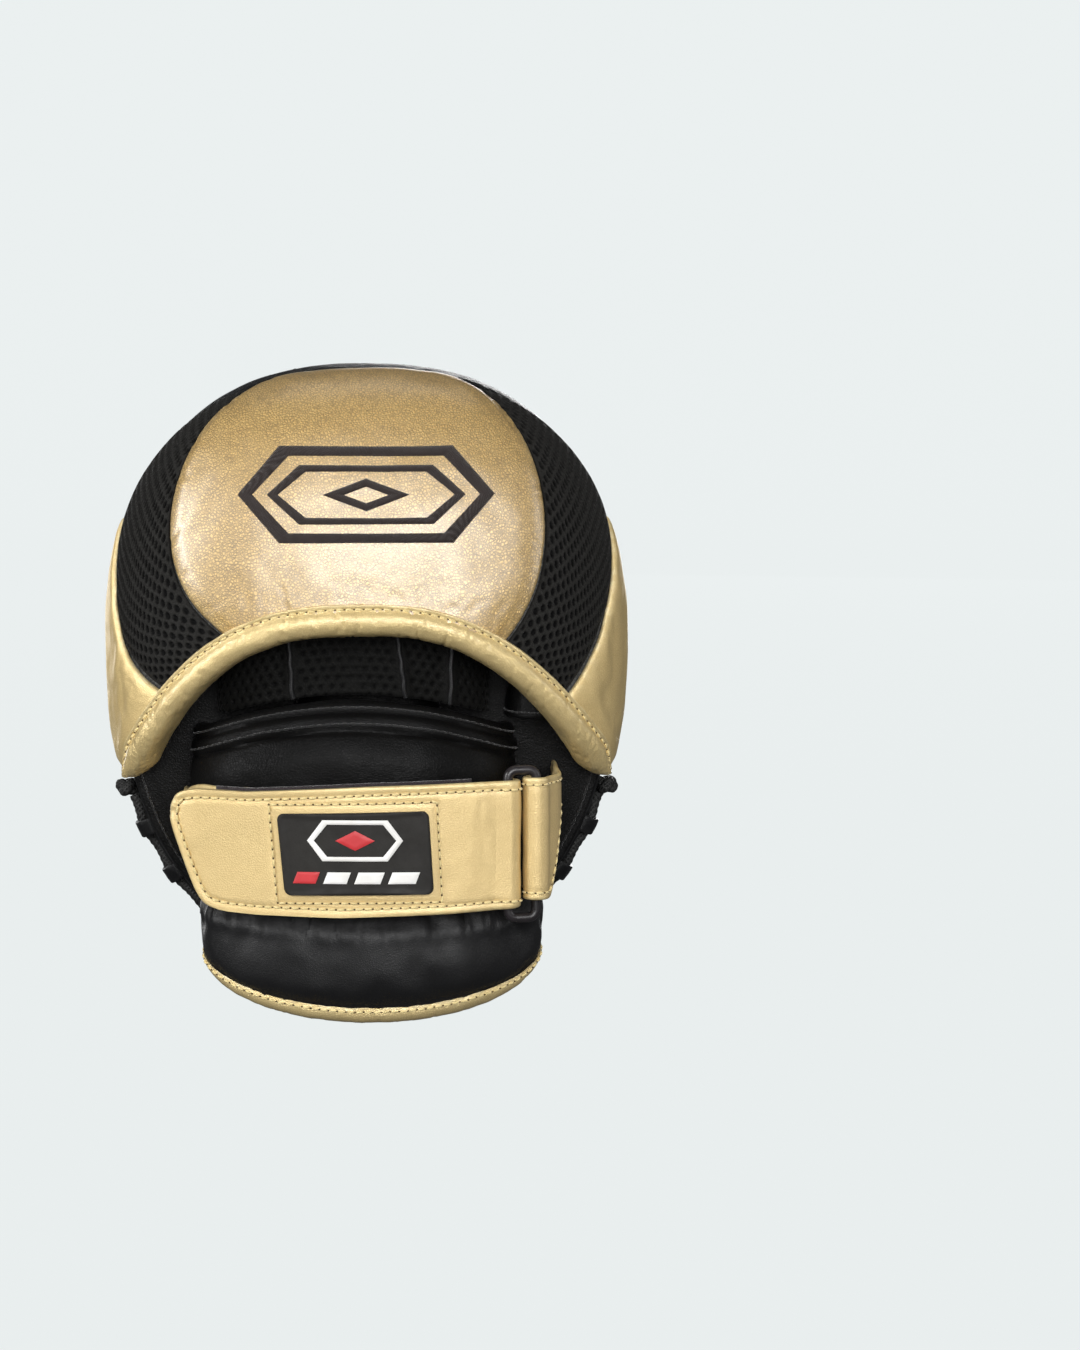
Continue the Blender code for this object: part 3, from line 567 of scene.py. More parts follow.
def thread_look(name, light, dark):
    """Twisted thread: fine slanting strands."""
    look = Look(name, Sheen_Weight=0.3, Sheen_Roughness=0.4)
    strands = look.wave(900.0, "DIAGONAL", Distortion=1.0)
    tone = look.noise(260.0, 2.0)
    colour = look.mix(look.math("MULTIPLY", strands, tone), light, dark)
    rough = look.range(tone, 0.3, 0.7, 0.47, 0.65)
    look.set(Base_Color=colour, Roughness=rough, Normal=look.bump(strands, 0.1))


def cord_look(name, light, dark):
    """Braided cord: strands that cross in both directions."""
    look = Look(name, Specular_IOR_Level=0.4)
    mirrored = look.wave(330.0, "DIAGONAL", look.stretch((-1.0, 1.0, 1.0)))
    braid = look.math("MAXIMUM", look.wave(330.0, "DIAGONAL"), mirrored)
    fibre = look.noise(2200.0, 2.0)
    colour = look.mix(braid, dark, light)
    height = look.math("ADD", braid, look.math("MULTIPLY", fibre, 0.4))
    rough = look.range(fibre, 0.3, 0.7, 0.5, 0.72)
    look.set(Base_Color=colour, Roughness=rough, Normal=look.bump(height, 0.25))


def moulded(name, light, dark, roughness, grain=1400.0, depth=0.03, **sockets):
    """Moulded plastic, rubber or a print: faint grain, small tone changes and light scuffs."""
    look = Look(name, **sockets)
    fine = look.noise(grain, 2.0)
    patches = look.noise(70.0, 5.0, roughness=0.65)
    colour = look.mix(look.range(patches, 0.35, 0.7, 0.0, 1.0), light, dark)
    rough = look.range(look.noise(240.0, 4.0), 0.3, 0.7, roughness - 0.08, roughness + 0.1)
    look.set(Base_Color=colour, Roughness=rough, Normal=look.bump(fine, depth))


def label_look(name):
    """Woven label: a tight weave of white threads."""
    look = Look(name, Sheen_Weight=0.2, Sheen_Roughness=0.5)
    weave = look.math("MULTIPLY", look.wave(700.0, "Z"), look.wave(700.0, "Y"))
    colour = look.mix(weave, srgb(214, 213, 210), srgb(244, 244, 242))
    rough = look.range(look.noise(500.0), 0.3, 0.7, 0.6, 0.75)
    look.set(Base_Color=colour, Roughness=rough, Normal=look.bump(weave, 0.12))


def foam_look(name, light, dark):
    look = Look(name, Specular_IOR_Level=0.2)
    pores = look.add("TexVoronoi", {"Vector": look.where, "Scale": 900.0})
    colour = look.mix(look.math("MULTIPLY", pores, 1.4), light, dark)
    rough = look.range(pores, 0.0, 0.6, 0.8, 0.95)
    look.set(Base_Color=colour, Roughness=rough, Normal=look.bump(pores, 0.4))


def make_looks():
    leather("hood_gold", srgb(224, 186, 108), srgb(130, 94, 40), srgb(236, 216, 164), 1.05, 0.25, 0.42,
            crease=0.75, mottle=0.08, Metallic=0.5, Coat_Weight=1.0, Coat_Roughness=0.4, Coat_IOR=2.3)
    leather("side_gold", srgb(228, 202, 142), srgb(172, 140, 84), srgb(244, 230, 186), 0.8, 0.07, 0.44,
            crease=0.25, mottle=0.2, Metallic=0.6, Coat_Weight=0.35, Coat_Roughness=0.42)
    leather("binding_gold", srgb(234, 210, 150), srgb(164, 130, 76), srgb(248, 238, 202), 0.7, 0.09, 0.36,
            crease=0.3, mottle=0.25, Metallic=0.55, Coat_Weight=0.9, Coat_Roughness=0.34)
    leather("strap_gold", srgb(226, 200, 142), srgb(184, 152, 96), srgb(246, 228, 170), 0.8, 0.07, 0.44,
            crease=0.22, mottle=0.15, Metallic=0.45, Coat_Weight=0.55, Coat_Roughness=0.33)
    leather("face_gold", srgb(196, 160, 96), srgb(112, 82, 42), srgb(236, 212, 156), 0.85, 0.13, 0.40,
            mottle=0.2, Metallic=0.85, Coat_Weight=0.4, Coat_Roughness=0.4)
    leather("black_leather", srgb(20, 20, 21), srgb(10, 10, 10), srgb(40, 40, 40), 1.0, 0.10, 0.40,
            crease=0.5, mottle=0.3, Specular_IOR_Level=0.2)
    # A darker copy of the black leather for the rear panel, back pad, thumb stall and palm pad inside the
    # hand pocket: painted shade.
    leather("shaded_pocket_leather", srgb(13, 13, 13), srgb(6, 6, 6), srgb(26, 26, 26), 1.0, 0.08, 0.34,
            crease=0.4, mottle=0.3, Specular_IOR_Level=0.1)
    leather("soft_black", srgb(19, 19, 20), srgb(10, 10, 10), srgb(38, 38, 38), 0.8, 0.05, 0.36,
            crease=0.3, mottle=0.3, Specular_IOR_Level=0.2)
    leather("cuff_black", srgb(20, 20, 21), srgb(11, 11, 11), srgb(38, 38, 38), 0.8, 0.05, 0.4, crease=0.3,
            mottle=0.3, Specular_IOR_Level=0.3)
    # The last colour of each mesh is painted shade for its holes.
    mesh_fabric("black_mesh", srgb(48, 47, 45), srgb(16, 16, 15), srgb(1, 1, 1))
    # A darker copy of the mesh for the finger sleeve and the hood's lining, inside the mitt: painted
    # shade.
    mesh_fabric("shaded_sleeve_mesh", srgb(20, 20, 19), srgb(9, 9, 8), srgb(1, 1, 1))
    fuzzy("tape", srgb(58, 50, 52), srgb(20, 16, 18), 1500.0, 0.5)
    cord_look("cord", srgb(42, 42, 41), srgb(12, 12, 12))
    moulded("plastic", srgb(44, 40, 42), srgb(28, 26, 27), 0.32)
    moulded("rubber", srgb(40, 38, 35), srgb(31, 29, 27), 0.6, 2200.0, 0.05, Specular_IOR_Level=0.3)
    moulded("print_black", srgb(9, 8, 8), srgb(15, 13, 12), 0.5, 900.0, 0.08, Specular_IOR_Level=0.2)
    moulded("print_white", srgb(252, 250, 244), srgb(238, 232, 218), 0.5, 900.0, 0.08)
    moulded("rubber_white", srgb(244, 243, 240), srgb(228, 226, 220), 0.5)
    moulded("rubber_red", srgb(208, 56, 60), srgb(186, 44, 50), 0.5)
    label_look("label")
    thread_look("gold_thread", srgb(250, 232, 170), srgb(196, 160, 90))
    thread_look("black_thread", srgb(15, 15, 15), srgb(5, 5, 5))
    thread_look("brown_thread", srgb(44, 32, 28), srgb(20, 13, 11))
    # Dark brown spots for the needle holes beside gold thread: painted shade in the holes.
    moulded("hole_shade", srgb(98, 76, 38), srgb(66, 50, 24), 0.8)
    foam_look("foam", srgb(120, 120, 117), srgb(78, 78, 76))
    moulded("board", srgb(74, 76, 80), srgb(58, 60, 64), 0.6)


# ---- the mitt's surfaces --------------------------------------------------------------------

def side_shape(height_above, top, bottom):
    """Height and power of the rounded outline above or below its centre."""
    up = height_above >= 0
    return np.where(up, top, bottom), np.where(up, POWER_TOP, POWER_BOTTOM)


def outline_radius(angle, half_width, top, bottom):
    c, s = np.cos(angle), np.sin(angle)
    height, power = side_shape(s, top, bottom)
    return (np.abs(c / half_width) ** power + np.abs(s / height) ** power) ** (-1 / power)


def pad_edge(angle, inset=0.0):
    """X and Z on the pad's outline moved in square to it, and the direction out."""
    radius = outline_radius(angle, PAD_HALF_WIDTH, PAD_TOP, PAD_BOTTOM)
    x, z = radius * np.cos(angle), radius * np.sin(angle)
    height, power = side_shape(z, PAD_TOP, PAD_BOTTOM)
    out = unit(np.stack([np.sign(x) * np.abs(x / PAD_HALF_WIDTH) ** (power - 1) / PAD_HALF_WIDTH,
                         np.sign(z) * np.abs(z / height) ** (power - 1) / height], axis=-1))
    return x - inset * out[..., 0], PAD_CENTRE_Z + z - inset * out[..., 1], out


def dome(x, z):
    """The hood's outer surface at X and Z, and the direction out of it."""
    dz = z - PAD_CENTRE_Z
    height, power = side_shape(dz, HOOD_TOP, HOOD_BOTTOM)
    total = np.abs(x / HOOD_HALF_WIDTH) ** power + np.abs(dz / height) ** power
    rise = np.sqrt(np.maximum(0.0, 1 - np.minimum(1.0, total) ** (2 / power)))
    scale = np.maximum(total, 1e-6) ** (2 / power - 1)
    out = points_of(scale * np.sign(x) * np.abs(x / HOOD_HALF_WIDTH) ** (power - 1) / HOOD_HALF_WIDTH,
                    -rise / HOOD_DEPTH, scale * np.sign(dz) * np.abs(dz / height) ** (power - 1) / height)
    return points_of(x, HOOD_REAR_Y - HOOD_DEPTH * rise, z), unit(out)


def hood_point(u, w, depth=0.0):
    """A point of the hood: w is 0 at the rim and 1 at the pad, depth is mm inside its surface."""
    rim_x = RIM_HALF_WIDTH * np.sin(u * np.pi / 2)
    right = rim_x > RIM_PEAK_X
    from_peak = np.abs(rim_x - RIM_PEAK_X) / (RIM_HALF_WIDTH - np.where(right, 1, -1) * RIM_PEAK_X)
    rim_z = RIM_PEAK_Z - RIM_DROP * from_peak ** np.where(right, RIM_POWER_RIGHT, RIM_POWER_LEFT)
    angle = np.pi / 2 - u * HOOD_SPREAD
    radius = outline_radius(angle, HOOD_HALF_WIDTH, HOOD_TOP, HOOD_BOTTOM)
    share = np.sin(w * np.pi / 2)
    x = rim_x + (radius * np.cos(angle) - rim_x) * share
    z = rim_z + (PAD_CENTRE_Z + radius * np.sin(angle) - rim_z) * share
    point, out = dome(x, z)
    return point - out * np.asarray(depth, float)[..., None]


def seam_inner(w):
    """u of the seam between the centre panel and the mesh."""
    return 0.34 + 0.51 * w - 1.11 * w ** 2 + 0.43 * w ** 3


def seam_outer(w):
    """u of the seam between the mesh and the side panel."""
    return 0.566 + 0.283 * w - 0.332 * w ** 2


def seam_at(seam, sign, w):
    """u of a seam on one side; the seams on the little finger's side bow out a little more."""
    bow = 0.05 if sign < 0 else 0.0
    return sign * (seam(w) + bow * np.sin(w * np.pi))


def face_height(x, z):
    """Y of the strike face, which is crowned a little."""
    dz = z - PAD_CENTRE_Z
    height, power = side_shape(dz, PAD_TOP, PAD_BOTTOM)
    out = (np.abs(x / PAD_HALF_WIDTH) ** power + np.abs(dz / height) ** power) ** (1 / power)
    return FACE_Y + FACE_CROWN * (1 - np.minimum(out, 1.0) ** 2)


# ---- strike pad -----------------------------------------------------------------------------

def make_strike_face():
    turn = full_turn(420)[:, None]
    outermost, rounding, power = 0.6, 12.0, 2.4
    inset = outermost + rounding * 1.6 * np.linspace(0, 1, 20) ** 1.5
    x, z, _ = pad_edge(turn, inset[None, :])
    t = np.clip((inset - outermost) / rounding, 0, 1)[None, :]
    rise = (1 - (1 - t) ** power) ** (1 / power)
    y = FACE_EDGE_Y + (face_height(x, z) - FACE_EDGE_Y) * rise
    edge = points_of(x, y, z)
    share = np.linspace(1, 0.006, 62)[None, 1:]
    x_in = x[:, -1:] * share
    z_in = PAD_CENTRE_Z + (z[:, -1:] - PAD_CENTRE_Z) * share
    points = np.concatenate([edge, points_of(x_in, face_height(x_in, z_in), z_in)], axis=1)
    inside = border(points, True, True)
    lift = 0.22 * clouds(points, 26.0, 1) * smooth_step(0, 20, inside)
    puckers = np.abs(np.sin(turn * 95)) * ridge(inside, 1.5, 2.0)
    cover, _, _ = skin("strike_face", points, 1.6, "face_gold", wrap=True, cap=True, roll=0.6,
                       lift=lift - 0.18 * puckers)
    place(cover, "mitt", ["strike_cover"])

    x, z, _ = pad_edge(full_turn(400), outermost)
    welt_y = 0.5 * (WALL_HIGH_Y + FACE_EDGE_Y)
    welt = tube("face_piping", points_of(x, welt_y, z), 1.35, "black_leather", 10, closed=True)
    place(welt, "mitt", ["face_welt"])


def between(outer, inner, count):
    """X and Z of a grid that runs from one loop to another."""
    t = np.linspace(0, 1, count)[None, :, None]
    flat = outer[:, None] * (1 - t) + inner[:, None] * t
    return flat[..., 0], flat[..., 1]


def face_mark(name, outer, inner, look, cap=False):
    """A printed mark on the strike face between two loops, or inside one."""
    x, z = between(outer, inner, 12 if cap else 4)
    points = points_of(x, face_height(x, z) + 0.42, z)
    mark, _, _ = skin(name + "_print", points, 0.3, look, wrap=True, cap=cap, roll=0.3)
    place(mark, "mitt", [name])


def ring(radius, centre_z):
    angle = full_turn(120)
    return np.stack([radius * np.cos(angle), centre_z + radius * np.sin(angle)], axis=-1)


def dense(corners, per_side):
    """A straight-sided outline with more points along each side."""
    corners = np.array(corners, float)
    t = np.linspace(0, 1, per_side, endpoint=False)[:, None]
    sides = zip(corners, np.roll(corners, -1, axis=0))
    return np.concatenate([a * (1 - t) + b * t for a, b in sides])


def hexagon(half_length, half_height, centre_z, centre_x=0.0):
    side = 0.68 * half_length
    shape = [(half_length, 0), (side, half_height), (-side, half_height), (-half_length, 0),
             (-side, -half_height), (side, -half_height)]
    return np.array(shape) + (centre_x, centre_z)


def make_prints():
    face_mark("target_disc", ring(20.0, TARGET_Z), ring(0.2, TARGET_Z), "print_black", cap=True)
    for word, inner, outer in (("inner", 20.6, 25.0), ("middle", 27.0, 29.2), ("outer", 32.4, 34.2)):
        face_mark(f"target_ring_{word}", ring(outer, TARGET_Z), ring(inner, TARGET_Z), "print_white")
    motif_z, low, high, lean = TARGET_Z + 80.0, TARGET_Z - 80.5, TARGET_Z - 73.5, 4.0
    face_mark("face_motif", dense(hexagon(18.5, 8.0, motif_z), 8), dense(hexagon(15.0, 5.8, motif_z), 8),
              "print_black")
    for k, (start, end) in enumerate(((23.0, 9.5), (6.5, -9.0), (-12.0, -27.5)), 1):
        bar = np.array([(start, low), (start - lean, high), (end - lean, high), (end, low)])
        middle = bar.mean(axis=0)
        face_mark(f"face_bar_{k}", dense(bar, 6), dense(middle + (bar - middle) * 0.05, 6),
                  "print_white" if k == 1 else "print_black", cap=True)


def wall_grid(first, last, step, low, high, columns, lift=0.0):
    """A stretch of the wall between two angles and two heights, with a row every step mm."""
    mean_radius = 105.0
    rows = int(abs(last - first) * mean_radius / step)
    angle = np.linspace(first, last, rows)[:, None]
    x, z, _ = pad_edge(angle, -lift)
    return points_of(x, low + (high - low) * soft_steps(columns, 0.03)[None, :], z), angle


def make_wall(name, first, last):
    stitch_y = 38.2
    points, angle = wall_grid(first, last, 1.1, WALL_LOW_Y, WALL_HIGH_Y, 34)
    y = points[..., 1]
    share = (y - WALL_LOW_Y) / (WALL_HIGH_Y - WALL_LOW_Y)
    lift = 1.1 * np.sin(np.pi * share) ** 0.7 + 0.25 * clouds(points, (22.0, 9.0, 22.0), 2)
    lift -= 0.55 * ridge(y, stitch_y, 0.8)
    lift += 0.28 * np.sin(angle * 128) * ridge(y, stitch_y + 0.4, 1.8)
    lift -= 0.3 * creases(points, (9.0, 26.0, 9.0), 5) * smooth_step(36, 20, y)
    laced = smooth_step(-0.03, 0.06, angle - LACE_FIRST) * smooth_step(-0.03, 0.06, LACE_LAST - angle)
    lift += laced * ridge(np.abs(y - LACE_Y), 4.6, 1.5)
    lift -= laced * 2.4 * ridge(y, LACE_Y, 2.6, 4)
    wall, front, normals = skin(name + "_leather", points, 1.6, "black_leather", roll=0.7, lift=lift)
    place(wall, "mitt", [name])
    edge_stitches(name + "_stitches", front, normals, "last_column", WALL_HIGH_Y - stitch_y,
                  "black_thread", "mitt", 3.2, 0.36)


def make_wall_joint(word, angle):
    name, half, low, high = f"wall_joint_{word}", 4.5 / PAD_HALF_WIDTH, 18.4, 41.0
    points, _ = wall_grid(angle - half, angle + half, 0.6, low, high, 16, lift=2.3)
    share = (points[..., 1] - low) / (high - low)
    patch, front, normals = skin(name + "_leather", points, 1.0, "black_leather", roll=0.8,
                                 lift=0.5 * np.sin(np.pi * share))
    place(patch, "mitt", [name])
    for k, side in enumerate(("first_row", "last_row")):
        edge_stitches(f"{name}_stitches_{k}", front, normals, side, 1.6, "black_thread", "mitt", 2.8, 0.34)


def make_size_label():
    points, _ = wall_grid(math.radians(161), math.radians(186.5), 0.8, 24.0, 36.0, 14, lift=2.0)
    label, front, normals = skin("label_cloth", points, 0.5, "label", roll=0.3,
                                 lift=0.15 * clouds(points, 7.0, 3))
    place(label, "mitt", ["size_label"])
    for k, side in enumerate(("first_column", "last_column", "first_row", "last_row")):
        edge_stitches(f"label_stitches_{k}", front, normals, side, 0.9, "black_thread", "mitt", 1.9, 0.2,
                      trim=1, holes=False)


def make_walls():
    gap = 0.4 / PAD_HALF_WIDTH
    right, left = WALL_JOINT, math.pi - WALL_JOINT
    make_wall("upper_wall", right + gap, left - gap)
    make_wall("lower_wall", left + gap, right + 2 * math.pi - gap)
    make_wall_joint("left", left)
    make_wall_joint("right", right)
    make_size_label()


def braid(path, radius, sides):
    """Radius of a braided cord, a little lumpy where its strands cross."""
    slant, depth = 1.21, 0.09
    far = slant * distances(path)[:, None]
    turn = 2 * full_turn(sides)[None]
    wave = np.abs(np.sin(turn + far)) + np.abs(np.sin(turn - far))
    return radius * (1 - depth + depth * wave)


def make_lace_cord(loops):
    """The lace weaves from loop to loop along its row."""
    angle = np.linspace(LACE_FIRST - 0.03, LACE_LAST + 0.03, 420)
    weave = np.pi * (angle - loops[0]) / (loops[1] - loops[0])
    x, z, _ = pad_edge(angle, -(2.9 + 0.5 * np.cos(2 * weave)))
    path = points_of(x, LACE_Y + 1.1 * np.sin(weave), z)
    lace = tube("lace_cord", path, braid(path, 2.35, 14), "cord", 14)
    place(lace, "mitt", ["lace"])


def make_lace_loop(k, middle):
    x, z, out = pad_edge(np.array(middle))
    along = np.array([-out[1], out[0]])
    side = 3.3 * (2 * soft_steps(7, 0.1) - 1)[:, None]
    turn = np.radians(np.linspace(2, 178, 26))[None, :]
    lift = 6.9 * np.sin(turn) ** 0.85 - 0.012 * side ** 2
    points = points_of(x + out[0] * lift + along[0] * side, LACE_Y + 7.4 * np.cos(turn),
                       z + out[1] * lift + along[1] * side)
    name = f"lace_loop_{k:02d}"
    loop, _, _ = skin(name + "_leather", points, 1.4, "soft_black", away=(x, LACE_Y, z), roll=0.7,
                      lift=0.18 * clouds(points, 5.0, k))
    place(loop, "mitt", [name])


def make_lace_knot(word, angle):
    """A trefoil of the lace, pulled tight against the wall."""
    t = full_turn(90)
    trefoil = points_of(np.sin(t) + 2 * np.sin(2 * t), 1.1 * (np.cos(t) - 2 * np.cos(2 * t)),
                        -1.3 * np.sin(3 * t))
    x, z, _ = pad_edge(np.array(angle), -4.6)
    path = trefoil + (x, LACE_Y, z)
    knot = tube(f"lace_knot_{word}_cord", path, braid(path, 1.9, 12), "cord", 12, closed=True)
    place(knot, "mitt", [f"lace_knot_{word}"])


def make_lace():
    margin, past = math.radians(5), math.radians(3.4)
    loops = np.linspace(LACE_FIRST + margin, LACE_LAST - margin, 11)
    make_lace_cord(loops)
    for k, middle in enumerate(loops, 1):
        make_lace_loop(k, middle)
    make_lace_knot("left", LACE_FIRST - past)
    make_lace_knot("right", LACE_LAST + past)


def make_rear_panel():
    turn = full_turn(260)[:, None]
    share = np.concatenate([[1.0, 0.996, 0.99], np.linspace(0.97, 0.01, 46)])[None, :]
    x, z, _ = pad_edge(turn, 0.2)
    x, z = x * share, PAD_CENTRE_Z + (z - PAD_CENTRE_Z) * share
    points = points_of(x, 15.9, z)
    lift = 0.12 * clouds(points, 30.0, 4) - 0.25 * (share < 0.96) * (share > 0.94)
    panel, front, normals = skin("rear_leather", points, 1.5, "shaded_pocket_leather", away=(0, 40, 35),
                                 wrap=True, cap=True, roll=0.7, lift=lift)
    place(panel, "mitt", ["rear_panel"])
    edge_stitches("rear_panel_stitches", front, normals, "first_column", 3.2, "black_thread", "mitt", 3.4,
                  0.36, closed=True)


# ---- hood -----------------------------------------------------------------------------------

def hood_grid(left, right, columns, rows, depth=0.0, last=1.0):
    """Points of the hood between two lines that give u for each w, and those w."""
    w = soft_steps(rows, 0.015)[:, None] * last
    t = soft_steps(columns, 0.03)[None, :]
    return hood_point(left(w) + (right(w) - left(w)) * t, w, depth), w


def under_binding(points):
    """True where a hood panel is sewn down: at its edges and under the binding."""
    return (border(points) < 1.2) | (reach(points, 0) < UNDER_BINDING)


def down_the_middle(points):
    """How far each row is along the grid's middle column."""
    return reach(points, 0)[:, points.shape[1] // 2][:, None]


def pits(across, along, pitch_x, pitch_z, half_x, half_z):
    """1 in the holes of a staggered mesh and 0 between them."""
    deepest = np.zeros(np.broadcast(across, along).shape)
    for shift in (0.0, 0.5):
        dx = ((across / pitch_x + shift) % 1.0 - 0.5) * pitch_x / half_x
        dz = ((along / pitch_z + shift) % 1.0 - 0.5) * pitch_z / half_z
        deepest = np.maximum(deepest, 1 - smooth_step(0.7, 1.15, np.sqrt(dx ** 2 + dz ** 2)))
    return deepest


def make_centre_panel():
    points, w = hood_grid(lambda w: seam_at(seam_inner, -1, w) + PANEL_GAP,
                          lambda w: seam_at(seam_inner, 1, w) - PANEL_GAP, 90, 96)
    seam = border(points, wrap=True)
    points = points + inflate("hood_cover", points, INSIDE, under_binding(points), (56, 60), 3.0, 0.003,
                              0.9)
    lift = 1.5 * (1 - np.exp(-seam / 2.2)) - 0.5 * ridge(seam, 3.4, 1.2)
    lift = lift + 0.7 * clouds(points, 34.0, 6) * smooth_step(2, 16, seam)
    lift -= 0.35 * creases(points, (30.0, 30.0, 9.0), 8, 0.05) * smooth_step(14, 4, seam)
    lift -= 0.3 * creases(points, (7.0, 30.0, 26.0), 9, 0.06) * smooth_step(0.22, 0.06, w)
    panel, front, normals = skin("hood_centre", points, 1.9, "hood_gold", roll=1.2, lift=lift)
    place(panel, "mitt", ["hood_centre_panel"])
    # A thin dark cord sunk along each side seam of the centre panel: a painted shadow line in the seam.
    for word, side in (("left", "first_column"), ("right", "last_column")):
        line, up = inset_line(front, normals, side, 0.05)
        cord = tube(f"hood_seam_cord_{word}", (line - up * 0.55)[::2], 0.42, "brown_thread", 8)
        place(cord, "mitt")


def make_mesh_panel(word, sign):
    points, _ = hood_grid(lambda w: seam_at(seam_inner, sign, w) + sign * PANEL_GAP,
                          lambda w: seam_at(seam_outer, sign, w) - sign * PANEL_GAP, 86, 236)
    across, along = reach(points, 1), down_the_middle(points)
    seam = border(points, wrap=True)
    holes = pits(across + 0.1 * along, along - 0.22 * across, 4.8, 4.2, 1.0, 1.25)
    holes *= smooth_step(0.6, 1.6, seam)
    lift = 1.6 * (1 - np.exp(-seam / 4.0)) - 1.0 - 0.9 * holes + 0.3 * clouds(points, 20.0, 11)
    panel, _, _ = skin(f"hood_mesh_{word}_fabric", points, 1.6, "black_mesh", roll=0.8, lift=lift,
                       fields={"pit": holes})
    place(panel, "mitt", [f"hood_mesh_{word}"])


def make_side_panel(word, sign):
    points, _ = hood_grid(lambda w: seam_at(seam_outer, sign, w) + sign * PANEL_GAP,
                          lambda w: sign * HOOD_END + 0 * w, 60, 96)
    points = points + inflate(f"side_cover_{word}", points, INSIDE, under_binding(points), (44, 50), 3.0,
                              0.006, 1.0)
    seam = reach(points, 1)
    lift = 1.1 * (1 - np.exp(-seam / 2.2)) + 0.5 * clouds(points, 26.0, 12)
    lift -= 0.12 * creases(points, (26.0, 26.0, 8.0), 13, 0.06) * smooth_step(16, 3, seam)
    panel, _, _ = skin(f"hood_side_{word}_leather", points, 1.7, "side_gold", roll=1.0, lift=lift)
    place(panel, "mitt", [f"hood_side_{word}"])


def make_hood_panels():
    make_centre_panel()
    for word, sign in (("left", -1), ("right", 1)):
        make_mesh_panel(word, sign)
        make_side_panel(word, sign)


def make_hood_inside():
    end, last, foam_depth, liner_depth = 0.86 * HOOD_END, 0.95, 2.4, 8.2
    both = (lambda w: -end + 0 * w, lambda w: end + 0 * w)
    points, _ = hood_grid(*both, 90, 40, foam_depth, last)
    foam, _, _ = skin("hood_foam", points, 5.0, "foam", roll=2.0)
    place(foam, "mitt", ["hood_padding"])
    points, _ = hood_grid(*both, 200, 110, liner_depth, last)
    holes = pits(reach(points, 1), down_the_middle(points), 3.4, 5.6, 0.95, 1.3)
    liner, _, _ = skin("hood_lining", points, 1.2, "shaded_sleeve_mesh", roll=0.6,
                       lift=0.2 * clouds(points, 15.0, 14), fields={"pit": holes})
    place(liner, "mitt", ["hood_liner"])


RIM_FOLD = ((9.3, -0.3), (9.6, -1.2), (8.9, -2.4), (8.0, -1.8), (7.2, -1.5), (5.8, -2.6), (3.8, -3.2),
            (1.4, -2.8), (-1.0, -1.3), (-2.1, 1.4), (-2.3, 4.6), (-2.0, 8.0), (-0.9, 10.6), (1.2, 11.6),
            (3.4, 11.6), (5.2, 11.3))


def make_rim():
    u = np.linspace(-HOOD_END, HOOD_END, 330)
    rim, near = hood_point(u, 0 * u), hood_point(u, 0 * u + 0.02)
    span = np.linalg.norm(near - rim, axis=-1) / 0.02
    along = unit(near - rim)
    fold = curve_through(RIM_FOLD, 34)
    taper = 1 - 0.62 * smooth_step(0.84, 1.0, np.abs(u) / HOOD_END)[:, None]
    distance = fold[None, :, 0] * taper
    depth = np.where(fold[None, :, 1] > 0, fold[None, :, 1] * taper, fold[None, :, 1])
    w = np.clip(distance / span[:, None], 0.0, 0.8)
    points = hood_point(u[:, None] + 0 * w, w, depth + 0 * w) \
        + along[:, None] * np.minimum(0.0, distance)[..., None]
    band = smooth_step(9.0, 6.0, distance) * smooth_step(7.0, 2.0, depth)
    lift = 0.26 * clouds(points, 9.0, 15) - 0.5 * creases(points, (3.2, 24.0, 24.0), 16, 0.035) * band
    lift += 0.12 * clouds(points, 2.6, 17) * band
    rim_piece, front, normals = skin("hood_rim", points, 1.1, "binding_gold", away=(0.0, 10.0, 70.0),
                                     roll=0.5, lift=lift)
    place(rim_piece, "mitt", ["hood_binding"])
    groove_at, outside = 7.6, fold[:, 1] <= 0
    groove = int(np.argmin(np.where(outside, np.abs(fold[:, 0] - groove_at), np.inf)))
    stitches("hood_rim_stitches", front[:, groove], normals[:, groove], "gold_thread", "mitt", 3.4,
             0.42, slant=0.12)


def satin(name, outer, inner, node, surface, tilt):
    """Embroidery: threads laid side by side across the band between two loops."""
    pitch = 0.55
    line_out, line_in = np.vstack([outer, outer[:1]]), np.vstack([inner, inner[:1]])
    far = distances(line_out)
    at = np.linspace(0, far[-1], int(far[-1] / pitch), endpoint=False)
    start, end = read_line(line_out, far, at), read_line(line_in, far, (at + tilt) % far[-1])
    first, out = dome(start[:, 0], start[:, 1])
    last, last_out = dome(end[:, 0], end[:, 1])
    first, last = land_on(surface, first, out), land_on(surface, last, last_out)
    centres = 0.5 * (first + last) + out * 0.35
    half = 0.5 * np.linalg.norm(last - first, axis=-1)
    rows = capsules(name, centres, last - first, out, half, 0.36, "brown_thread", arch=0.5)
    place(rows, "mitt", [node])


def make_emblem():
    panel = surface_of(bpy.data.objects["hood_centre"])
    centre_z = 91.0
    satin("emblem_frame_threads", dense(hexagon(46.0, 17.0, centre_z), 12),
          dense(hexagon(40.5, 13.4, centre_z), 12), "hood_emblem_frame", panel, 0.8)
    satin("emblem_line_threads", dense(hexagon(35.5, 10.4, centre_z), 12),
          dense(hexagon(31.5, 8.0, centre_z), 12), "hood_emblem_line", panel, 0.6)
    diamond = np.array([(15.5, 0.0), (0.0, 5.8), (-15.5, 0.0), (0.0, -5.8)])
    satin("emblem_core_threads", dense(diamond + (0, centre_z), 12),
          dense(diamond * (0.52, 0.48) + (0, centre_z), 12), "hood_emblem_core", panel, 0.6)


# ---- hand pocket ----------------------------------------------------------------------------

